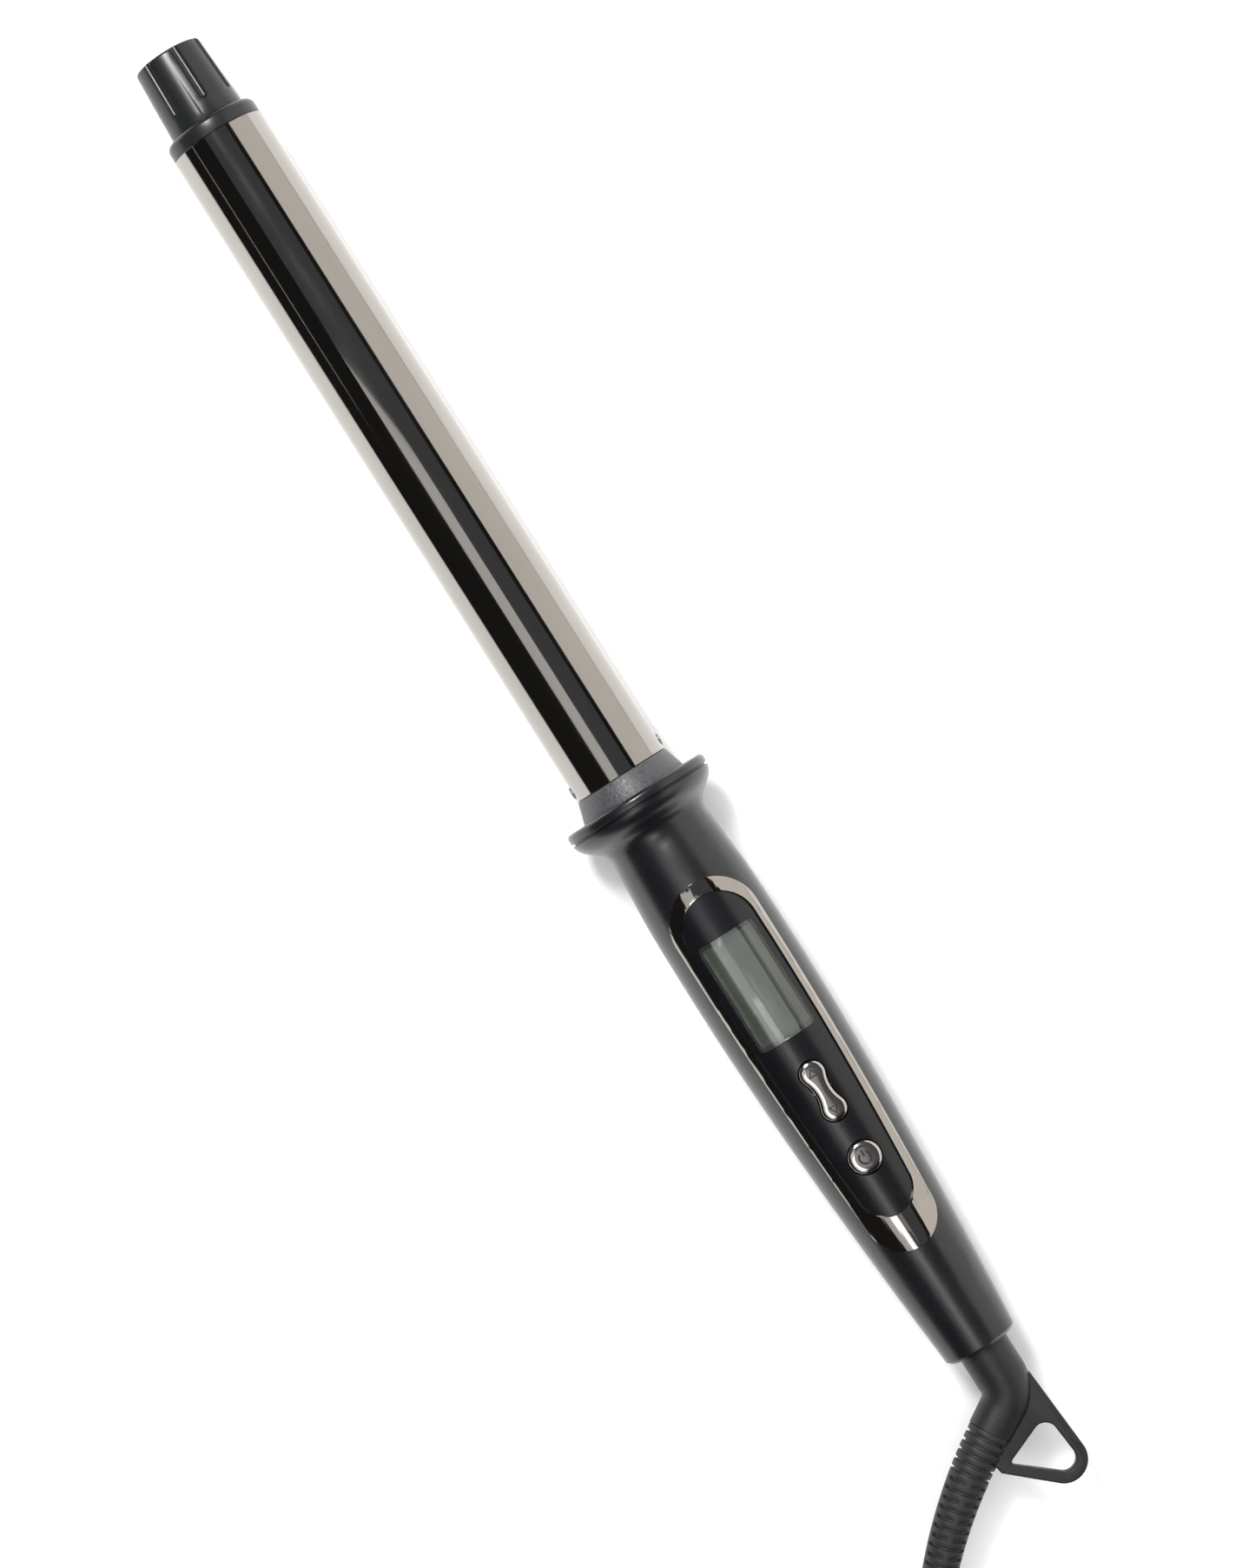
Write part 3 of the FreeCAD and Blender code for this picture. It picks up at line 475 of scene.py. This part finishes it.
makeBarrelScrews()
print("barrel and screws made")


# parts whose outline the frame already has: merged copies with their edges rounded
copySettings = {"merge": 2e-6, "flat": 0.5, "segments": 3, "angle": 35, "smooth": 32}


def roundedCopy(node, name, width, material):
    s = copySettings
    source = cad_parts[node]
    piece = source.copy()
    piece.data = source.data.copy()
    piece.parent = None
    bpy.context.scene.collection.objects.link(piece)
    editAll(piece)
    bpy.ops.mesh.customdata_custom_splitnormals_clear()
    bpy.ops.mesh.remove_doubles(threshold=s["merge"])
    bpy.ops.mesh.dissolve_limited(angle_limit=math.radians(s["flat"]))
    bpy.ops.object.mode_set(mode="OBJECT")
    roundEdges(piece, width, s["segments"], s["angle"])
    finishPiece(piece, name, "wand", material, [node], s["smooth"])


roundedCopy("cool_tip", "coolTip", 0.18, finish["satinNylon"])
roundedCopy("tip_collar", "tipCollar", 0.15, finish["satinNylon"])
roundedCopy("base_collar", "baseCollar", 0.2, finish["sparkedNylon"])
roundedCopy("guard_ring", "guardRing", 0.2, finish["satinAbs"])
roundedCopy("display_lens", "displayLens", 0.35, finish["clearPolycarbonate"])
roundedCopy("bezel_trim", "chromeTrim", 0.22, finish["darkNickelChrome"])
lensMaskSettings = {"border": 1.0, "over": 0.03, "margin": 0.25}


def makeLensMask():
    # a dark border printed round the display's window
    s = lensMaskSettings
    low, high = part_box("display_lens")
    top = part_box("lcd_module")[1][2] / mm + s["over"]
    deselectAll()
    bpy.ops.mesh.primitive_plane_add(size=1)
    mask = bpy.context.object
    mask.scale = (high[0] - low[0] - 2 * s["margin"] * mm, high[1] - low[1] - 2 * s["margin"] * mm, 1)
    bpy.ops.object.transform_apply(scale=True)
    editAll(mask)
    bpy.ops.mesh.inset(thickness=s["border"] * mm, depth=0)
    bpy.ops.mesh.delete(type="FACE")
    bpy.ops.object.mode_set(mode="OBJECT")
    placePiece(mask, ((low[0] + high[0]) / 2 / mm, (low[1] + high[1]) / 2 / mm, top))
    finishPiece(mask, "lensMask", "wand", finish["blackEpoxy"])


makeLensMask()
print("rounded parts made")

# keys
# crown: how far each step of the top goes in and up
keySettings = {"rockerX": 92.45, "lobe": 3.2, "offset": 4.95, "waist": 2.2, "perArc": 30,
               "powerX": 111.55, "powerRadius": 4.15, "powerSides": 96,
               "wall": 1.7, "tilt": 2.5, "smooth": 40,
               "crown": [(0.10, 0.15), (0.14, 0.11), (0.25, 0.12), (0.40, 0.12), (0.45, 0.08), (0.35, 0.03)]}


def rockerOutline():
    s = keySettings
    lobe, waist, offset = s["lobe"], s["waist"], s["offset"]
    hollow = (offset ** 2 + waist ** 2 - lobe ** 2) / (2 * (lobe - waist))
    reach = lobe + hollow
    tx, ty, tip = offset - lobe * offset / reach, lobe * (waist + hollow) / reach, offset + lobe
    arcs = [((-tx, ty), (-tip, 0), (-tx, -ty)), ((-tx, -ty), (0, -waist), (tx, -ty)),
            ((tx, -ty), (tip, 0), (tx, ty)), ((tx, ty), (0, waist), (-tx, ty))]
    return [p for arc in arcs for p in arcPoints(*arc, s["perArc"])]


def crownedKey(points):
    # a plate raised to its rim and drawn in to a soft crown, whose top is at z = 0
    s = keySettings
    key = plateFromOutline([points])
    editAll(key)
    bpy.ops.mesh.remove_doubles(threshold=samePlace)
    bpy.ops.mesh.dissolve_faces()
    bpy.ops.object.mode_set(mode="OBJECT")
    downwards = key.data.polygons[0].normal.z < 0
    editAll(key)
    if downwards:
        bpy.ops.mesh.flip_normals()
    height = s["wall"]
    bpy.ops.mesh.extrude_region_move(TRANSFORM_OT_translate={"value": (0, 0, height * mm)})
    for inset, rise in s["crown"]:
        bpy.ops.mesh.inset(thickness=inset * mm, depth=rise * mm)
        height += rise
    bpy.ops.object.mode_set(mode="OBJECT")
    placePiece(key, (0, 0, -height))
    return key


arrowSettings = {"radius": 1.55, "depth": 0.5, "rim": 0.24, "slope": 0.08, "sunk": 0.3, "edge": 0.06}
# height: of the wire's middle above the crown; bar: place along the key and radius of each ring
powerSignSettings = {"radius": 1.5, "wire": 0.24, "wireSides": 12, "turn": 290, "steps": 40, "height": 0.08,
                     "bar": [(-2.1, 0.12), (-2.0, 0.22), (-0.5, 0.22), (-0.4, 0.12)], "barSides": 16}


def raisedArrow(x, turn):
    # a raised triangle with a sunk middle, pointing outwards
    s = arrowSettings
    deselectAll()
    bpy.ops.mesh.primitive_cylinder_add(vertices=3, radius=s["radius"] * mm, depth=s["depth"] * mm)
    arrow = bpy.context.object
    pickParts(arrow, "FACE", lambda face: face.normal.z > 0.9)
    bpy.ops.mesh.inset(thickness=s["rim"] * mm, depth=0)
    bpy.ops.mesh.inset(thickness=s["slope"] * mm, depth=-s["sunk"] * mm)
    bpy.ops.object.mode_set(mode="OBJECT")
    roundEdges(arrow, s["edge"], 2, 30)
    placePiece(arrow, (x, 0, 0), (0, 0, turn))
    return arrow


def powerSign():
    # a broken ring open towards the tip, with a short bar in the gap
    s = powerSignSettings
    deselectAll()
    bpy.ops.mesh.primitive_circle_add(vertices=s["wireSides"], radius=s["wire"] * mm, fill_type="NGON",
                                      location=(s["radius"] * mm, 0, 0), rotation=(math.pi / 2, 0, 0))
    ring = bpy.context.object
    bpy.ops.object.transform_apply(location=True, rotation=True, scale=True)
    editAll(ring)
    bpy.ops.mesh.spin(steps=s["steps"], angle=math.radians(s["turn"]), center=(0, 0, 0), axis=(0, 0, 1))
    bpy.ops.object.mode_set(mode="OBJECT")
    points = [v.co for v in ring.data.vertices]
    middle = sum(points, Vector()) / len(points)       # turned until its middle is away from the tip
    placePiece(ring, (0, 0, s["height"]), (0, 0, -math.degrees(math.atan2(middle.y, middle.x))))
    bar = growRings(s["bar"], s["barSides"])
    placePiece(bar, (0, 0, s["height"]))
    return [ring, bar]


def makeKeys():
    s = keySettings
    angles = [math.tau * k / s["powerSides"] for k in range(s["powerSides"])]
    circle = [(s["powerRadius"] * math.cos(angle), s["powerRadius"] * math.sin(angle)) for angle in angles]
    for name, body, node, x, key, marks in (
            ("rockerKey", "rocker", "rocker_key", s["rockerX"], crownedKey(rockerOutline()),
             [raisedArrow(-s["offset"], 90), raisedArrow(s["offset"], -90)]),
            ("powerKey", "power_button", "power_key", s["powerX"], crownedKey(circle), powerSign())):
        # the panel falls away towards the cord, and the keys lie along it
        low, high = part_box(node)
        top = high[2] / mm - math.tan(math.radians(s["tilt"])) * (high[0] - low[0]) / mm / 2
        signs = joinPieces(marks)
        for piece in (key, signs):
            placePiece(piece, (x, 0, top), (0, s["tilt"], 0))
        finishPiece(key, name, body, finish["keyChrome"], [node], s["smooth"])
        finishPiece(signs, name + "Marks", body, finish["blackEpoxy"], (), s["smooth"])


makeKeys()
print("keys made")

# swivel elbow with its hanging eye
elbowSettings = {"start": 160.0, "corner": 180.75, "radius": 6.5, "sides": 96, "legRadius": 5.6, "leg": 11.2,
                 "angle": 60.0, "bend": 8.0, "beforeBend": 6, "steps": 12, "legSteps": 4}
# places are from the handle's end; the nose is an arc given by three angles, and each corner of
# the hole is an arc with its centre, radius and first and last angle
eyeSettings = {"x": 167.15, "half": 2.0, "edge": 0.55, "nose": (34.5, 2.0), "noseRadius": 6,
               "noseAngles": (95, 25, -45), "nosePoints": 24, "back": [(9.0, 0.0), (12.0, 6.4)],
               "heel": [(29.2, -12.8), (22.0, -14.2)], "cornerPoints": 12,
               "corners": [((27.2, 1.3), 3.2, 97, 197), ((28.6, -8.3), 0.9, 200, 318),
                           ((34.4, 2.1), 3.1, -42, 97)]}


def makeElbow():
    s = elbowSettings
    cut = s["bend"] * math.tan(math.radians(s["angle"] / 2))
    bendStart = s["corner"] - cut
    straight = [(x, s["radius"]) for x in (s["start"], bendStart - s["beforeBend"], bendStart)]
    tube = growRings(straight, s["sides"])
    pickParts(tube, "VERT", lambda vertex: abs(vertex.co.x - bendStart * mm) < samePlace)
    bpy.ops.mesh.select_mode(type="FACE")
    step = math.radians(s["angle"] / s["steps"])
    pivot = Vector((bendStart, -s["bend"], 0)) * mm
    middle = Vector((bendStart, 0, 0)) * mm
    shrink = (s["legRadius"] / s["radius"]) ** (1 / (s["steps"] + s["legSteps"]))
    for k in range(s["steps"]):
        bpy.ops.mesh.extrude_region_move(TRANSFORM_OT_translate={"value": (0, 0, 0)})
        bpy.ops.transform.rotate(value=step, orient_axis="Z", center_override=pivot)
        middle = pivot + Matrix.Rotation(-step, 3, "Z") @ (middle - pivot)
        bpy.ops.transform.resize(value=(shrink, shrink, shrink), center_override=middle)
    direction = Vector((math.cos(math.radians(s["angle"])), -math.sin(math.radians(s["angle"])), 0))
    legStep = direction * (s["leg"] - cut) / s["legSteps"] * mm
    for k in range(s["legSteps"]):
        bpy.ops.mesh.extrude_region_move(TRANSFORM_OT_translate={"value": legStep})
        middle = middle + legStep
        bpy.ops.transform.resize(value=(shrink, shrink, shrink), center_override=middle)
    bpy.ops.object.mode_set(mode="OBJECT")
    return tube


def cornerArc(centre, radius, angles, count):
    # an arc round the centre through three angles in degrees, with its last point
    turns = [math.radians(angle) for angle in angles]
    three = [(centre[0] + radius * math.cos(turn), centre[1] + radius * math.sin(turn)) for turn in turns]
    return arcPoints(*three, count) + [three[-1]]


def makeEye():
    s = eyeSettings
    fromEnd = lambda point: (s["x"] + point[0], point[1])
    outer = [fromEnd(point) for point in s["back"]]
    outer += cornerArc(fromEnd(s["nose"]), s["noseRadius"], s["noseAngles"], s["nosePoints"])
    outer += [fromEnd(point) for point in s["heel"]]
    hole = []
    for centre, radius, first, last in s["corners"]:
        hole += cornerArc(fromEnd(centre), radius, (first, (first + last) / 2, last), s["cornerPoints"])
    return plateFromOutline([outer, hole], extrude=(s["half"] - s["edge"]) * mm, bevel_depth=s["edge"] * mm,
                            bevel_resolution=3, offset=-s["edge"] * mm)


elbow = joinPieces([makeElbow(), makeEye()])
placePiece(elbow, (0, 0, axisHeight))
finishPiece(elbow, "swivelElbow", "cord_assembly", finish["grainedElbow"],
            ["swivel_elbow"], 40)
print("elbow made")

# strain relief: full ribs at the elbow, then staggered slots
# inner and outer: where a row is slotted, in degrees from its top or bottom, past the rows slotted
# all round; drop: how much of the bend is towards the surface
reliefSettings = {"length": 50.0, "first": 5.45, "last": 4.1, "pitch": 2.35, "slot": 0.8, "depth": 0.75,
                  "rib": 0.8, "fullRows": 5, "inner": (-1, 75), "outer": (9, 68), "bend": 113.0, "drop": 0.43,
                  "start": (186.35, -9.70, axisHeight), "sides": 72, "edge": 0.16, "lip": 0.4,
                  "pathPoints": 8, "pathSteps": 24, "pathSpare": 1.06}


def makeReliefPath():
    s = reliefSettings
    angle = math.radians(elbowSettings["angle"])
    along = Vector((math.cos(angle), -math.sin(angle), 0))
    side = Vector((math.sin(angle), math.cos(angle), 0))
    inward = side * math.sqrt(1 - s["drop"] ** 2) - Vector((0, 0, s["drop"]))
    data = bpy.data.curves.new("reliefPath", "CURVE")
    data.dimensions, data.twist_mode, data.resolution_u = "3D", "Z_UP", s["pathSteps"]
    spline = data.splines.new("BEZIER")
    spline.bezier_points.add(s["pathPoints"])
    for k, point in enumerate(spline.bezier_points):
        turn = s["pathSpare"] * s["length"] / s["bend"] * k / s["pathPoints"]
        place = Vector(s["start"]) + (along * math.sin(turn) + inward * (1 - math.cos(turn))) * s["bend"]
        point.co = place * mm
        point.handle_left_type = point.handle_right_type = "AUTO"
    path = bpy.data.objects.new("reliefPath", data)
    bpy.context.scene.collection.objects.link(path)
    return path


def makeRelief():
    s = reliefSettings
    rows = int((s["length"] - 1) / s["pitch"])
    radiusAt = lambda x: s["first"] + (s["last"] - s["first"]) * x / s["length"]
    stations = [(0.0, radiusAt(0))]
    for k in range(rows):
        start = (k + 1) * s["pitch"] - s["slot"]
        stations += [(x, radiusAt(x)) for x in (start - s["rib"], start, start + s["slot"])]
    lipStart = s["length"] - s["lip"]
    stations += [(lipStart, radiusAt(lipStart)), (s["length"], s["last"] - s["lip"])]
    relief = growRings(stations, s["sides"])

    def inSlot(face):
        x = face.center.x / mm
        k = round((x + s["slot"] / 2) / s["pitch"]) - 1
        offRow = abs(x - (k + 1) * s["pitch"] + s["slot"] / 2) > 0.1
        if offRow or abs(face.normal.x) > 0.9 or not 0 <= k < rows:
            return False
        turn = abs(math.degrees(math.atan2(face.center.y, face.center.z)))
        turn = min(turn, 180 - turn)           # from the top or the bottom
        first, last = s["inner"] if (k - s["fullRows"]) % 2 else s["outer"]
        return k < s["fullRows"] or first < turn < last

    pickParts(relief, "FACE", inSlot)
    bpy.ops.mesh.extrude_region_shrink_fatten(TRANSFORM_OT_shrink_fatten={"value": -s["depth"] * mm})
    bpy.ops.object.mode_set(mode="OBJECT")
    roundEdges(relief, s["edge"], 2, 40)
    path = makeReliefPath()
    applyModifier(relief, "CURVE", object=path, deform_axis="POS_X")
    bpy.data.objects.remove(path)
    return finishPiece(relief, "strainRelief", "cord_assembly", finish["reliefRubber"],
                       ["strain_relief"], 40)


relief = makeRelief()
print("strain relief made")

# plug and coil tie
# groove: where it starts, ends and is full again past each rib; narrow: the share of its width and
# height that the body keeps where the cord comes in
plugSettings = {"boot": (287.85, -49.89, 19.85), "bootLength": 20.0, "mouth": [(0.0, 3.4), (0.3, 3.7)],
                "firstRadius": 3.7, "growth": 1.5, "lastRadius": 5.2, "firstRib": 1.2, "rib": 2.6,
                "groove": (0.15, 0.75, 0.9), "grooveDepth": 0.5, "overlap": 1, "bootSides": 64,
                "length": 35.0, "width": 26.0, "height": 13.7, "narrow": (0.62, 0.84), "corner": 3.6,
                "grips": 5, "firstGrip": 9, "gripPitch": 3.2, "grip": (1.3, 12, 1.2), "gripEdge": 0.25,
                "pinRadius": 2.0, "pinLength": 19.0, "spacing": 18.6, "pinGap": 0.02, "pinSides": 48,
                "point": [(-1.2, 1.0), (-0.4, 0.8), (0.0, 0.45)],
                "sleeve": 9.0, "sleeveBack": 0.5, "sleeveEdge": (0.3, 0.15)}


def makePlugBoot():
    s = plugSettings
    stations, x = list(s["mouth"]), s["firstRib"]
    near, far, after = s["groove"]
    while x < s["bootLength"] - 2:
        radius = s["firstRadius"] + s["growth"] * x / s["bootLength"]
        bottom = radius - s["grooveDepth"]
        stations += [(x, radius), (x + near, bottom), (x + far, bottom), (x + after, radius)]
        x += s["rib"]
    stations += [(x, s["lastRadius"]) for x in (s["bootLength"], s["bootLength"] + s["overlap"])]
    return growRings(stations, s["bootSides"])


def makePlugBody():
    s = plugSettings
    middle = s["bootLength"] + s["length"] / 2
    deselectAll()
    bpy.ops.mesh.primitive_cube_add(size=1, location=(middle * mm, 0, 0),
                                    scale=(s["length"] * mm, s["width"] * mm, s["height"] * mm))
    body = bpy.context.object
    bpy.ops.object.transform_apply(location=True, rotation=True, scale=True)
    # narrower where the cord comes in
    pickParts(body, "VERT", lambda vertex: vertex.co.x < (s["bootLength"] + 1) * mm)
    bpy.ops.transform.resize(value=(1, *s["narrow"]), center_override=(s["bootLength"] * mm, 0, 0))
    bpy.ops.object.mode_set(mode="OBJECT")
    roundEdges(body, s["corner"], 6, 30)
    grip = [c * mm for c in s["grip"]]
    for k in range(s["grips"]):
        x = s["bootLength"] + s["firstGrip"] + s["gripPitch"] * k
        for side in (1, -1):
            cutBox(body, (x * mm, 0, side * s["height"] / 2 * mm), grip)
    roundEdges(body, s["gripEdge"], 2, 50)
    return body


def makePlug():
    s = plugSettings
    bx, by, bz = s["boot"]
    boot = makePlugBoot()
    plug = joinPieces([makePlugBody(), boot])
    placePiece(plug, s["boot"])
    finishPiece(plug, "plugBody", "cord_assembly", finish["plugPvc"], ["plug_body"], 40)
    face = bx + s["bootLength"] + s["length"]
    radius, length = s["pinRadius"], s["pinLength"]
    bare = radius - s["pinGap"]
    shaft = [(s["sleeve"], bare)]
    shaft += [(length + x, bare if share == 1 else radius * share) for x, share in s["point"]]
    back, edge = s["sleeveEdge"]
    cover = [(-s["sleeveBack"], radius), (s["sleeve"] - back, radius), (s["sleeve"], radius - edge)]
    metal, sleeves = [], []
    for side in (1, -1):
        for profile, pieces in ((shaft, metal), (cover, sleeves)):
            piece = growRings(profile, s["pinSides"])
            placePiece(piece, (face, by + side * s["spacing"] / 2, bz))
            pieces.append(piece)
    pins = finishPiece(joinPieces(metal), "plugPins", "cord_assembly", finish["plugNickel"],
                       ["plug_pins"], 40)
    guards = finishPiece(joinPieces(sleeves), "pinSleeves", "cord_assembly", finish["plugPvc"],
                         smooth=40)
    return plug, pins, guards


tieSettings = {"x": (285.65, 297.65), "y": (-7.1, 27.4), "z": (0.0, 20.0), "thickness": 0.8, "slope": 5.6,
               "corner": 2.6, "edge": 0.15}


def makeTie():
    s = tieSettings
    size = [b - a for a, b in (s["x"], s["y"], s["z"])]
    centre = [(a + b) / 2 for a, b in (s["x"], s["y"], s["z"])]
    deselectAll()
    bpy.ops.mesh.primitive_cube_add(size=1, location=[c * mm for c in centre], scale=[c * mm for c in size])
    tie = bpy.context.object
    bpy.ops.object.transform_apply(location=True, rotation=True, scale=True)
    # lower where no cord crosses
    pickParts(tie, "VERT", lambda vertex: vertex.co.y < centre[1] * mm and vertex.co.z > centre[2] * mm)
    bpy.ops.transform.translate(value=(0, 0, -s["slope"] * mm))
    pickParts(tie, "FACE", lambda face: abs(face.normal.x) > 0.9)
    bpy.ops.mesh.delete(type="FACE")
    bpy.ops.object.mode_set(mode="OBJECT")
    roundEdges(tie, s["corner"], 8, 20)
    applyModifier(tie, "SOLIDIFY", thickness=s["thickness"] * mm, offset=-1)
    roundEdges(tie, s["edge"], 2, 60)
    return finishPiece(tie, "coilTie", "cord_assembly", finish["wovenStrap"], ["coil_tie"], 40)


plug, pins, guards = makePlug()
tie = makeTie()
print("plug and tie made")

# nodes that stay as they are: what each is made of
nodeFinishes = {
    "satinAbs": ["handle_upper_shell", "handle_lower_shell"],
    "panelAbs": ["control_panel"],
    "lcdCell": ["lcd_module"],
    "zincSteel": ["tip_screw", "handle_screws", "board_screws", "rocker_pivot_pin", "retaining_clip"],
    "drawnAluminium": ["heat_spreader_upper", "heat_spreader_lower"],
    "sinteredCeramic": ["ptc_heater"],
    "polyimideFilm": ["insulation_film"],
    "solderMask": ["circuit_board"],
    "capacitorBox": ["film_capacitor"],
    "whiteMoulding": ["thermal_fuse", "lcd_backlight", "board_fuse",
                      "front_plunger", "rear_plunger", "power_plunger"],
    "siliconeRubber": ["heater_leads", "mains_leads", "zebra_strips"],
    "blackEpoxy": ["thermistor", "temperature_switches", "power_switch",
                   "triac", "microcontroller", "brush_holder"],
    "turnedBrass": ["contact_brushes", "slip_rings"],
    "naturalAcetal": ["swivel_bush"]}
for name, nodes in nodeFinishes.items():
    for node in nodes:
        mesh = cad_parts[node].data
        mesh.materials.clear()
        mesh.materials.append(finish[name])

# floor and lights
studioSettings = {"floor": "#f4f4f4", "floorSize": 8, "world": 0.02}
# angle: from straight up towards -Y; turn: about the light's own axis; sizes along and across, in m
lightSettings = {
    "side": dict(angle=-63.5, distance=1.5, size=(3.2, 1.48), power=16.5, colour="#fffbf6", x=0.2),
    "panel": dict(angle=22, distance=1.5, size=(1.9, 0.60), power=2.8, x=0.68, turn=-6),
    "line": dict(angle=64, distance=1.5, size=(0.55, 0.035), power=0.04, x=-0.55),
    "tip": dict(angle=4, distance=1.5, size=(0.6, 0.26), power=26.0, x=-0.86),
    "grip": dict(angle=13, distance=1.5, size=(0.86, 0.34), power=2.2, x=0.60),
    "keys": dict(angle=1, distance=1.5, size=(0.42, 0.22), power=0.08, x=0.34),
    "ceiling": dict(angle=0, distance=2.2, size=(3.0, 2.3), power=2.0, colour="#f0f4ff", x=0.0),
    "fill": dict(angle=0, distance=2.6, size=(3.2, 3.2), power=72.0, x=0.0)}


def addLight(name, angle, distance, size, power, x, colour="#ffffff", turn=0):
    deselectAll()
    bpy.ops.object.light_add(type="AREA")
    light = bpy.context.object
    light.name = name
    light.data.shape, light.data.size, light.data.size_y = "RECTANGLE", size[0], size[1]
    light.data.energy, light.data.color = power, linearColour(colour)[:3]
    lean = Matrix.Rotation(math.radians(angle), 4, "X")
    light.matrix_world = (
        Matrix.Translation((x, 0, axisHeight * mm)) @ lean
        @ Matrix.Translation((0, 0, distance)) @ Matrix.Rotation(math.radians(turn), 4, "Z"))
    light.visible_camera = False
    return light


def addStudio():
    deselectAll()
    bpy.ops.mesh.primitive_plane_add(size=studioSettings["floorSize"])
    floor = bpy.context.object
    floor.name = "floor"
    paper = {"Roughness": 0.8, "Specular IOR Level": 0.2, "Base Color": linearColour(studioSettings["floor"])}
    floor.data.materials.append(newMaterial("matPaper", paper)[0])
    world = bpy.data.worlds.new("studio")
    bpy.context.scene.world = world
    world.use_nodes = True
    world.node_tree.nodes["Background"].inputs["Color"].default_value = [studioSettings["world"]] * 3 + [1]
    for name, settings in lightSettings.items():
        light = addLight(name, **settings)
        light.visible_glossy = name != "fill"      # the fill lights the floor, with no image in the barrel
    bpy.context.scene.view_settings.view_transform = "Standard"


addStudio()
print("studio set")
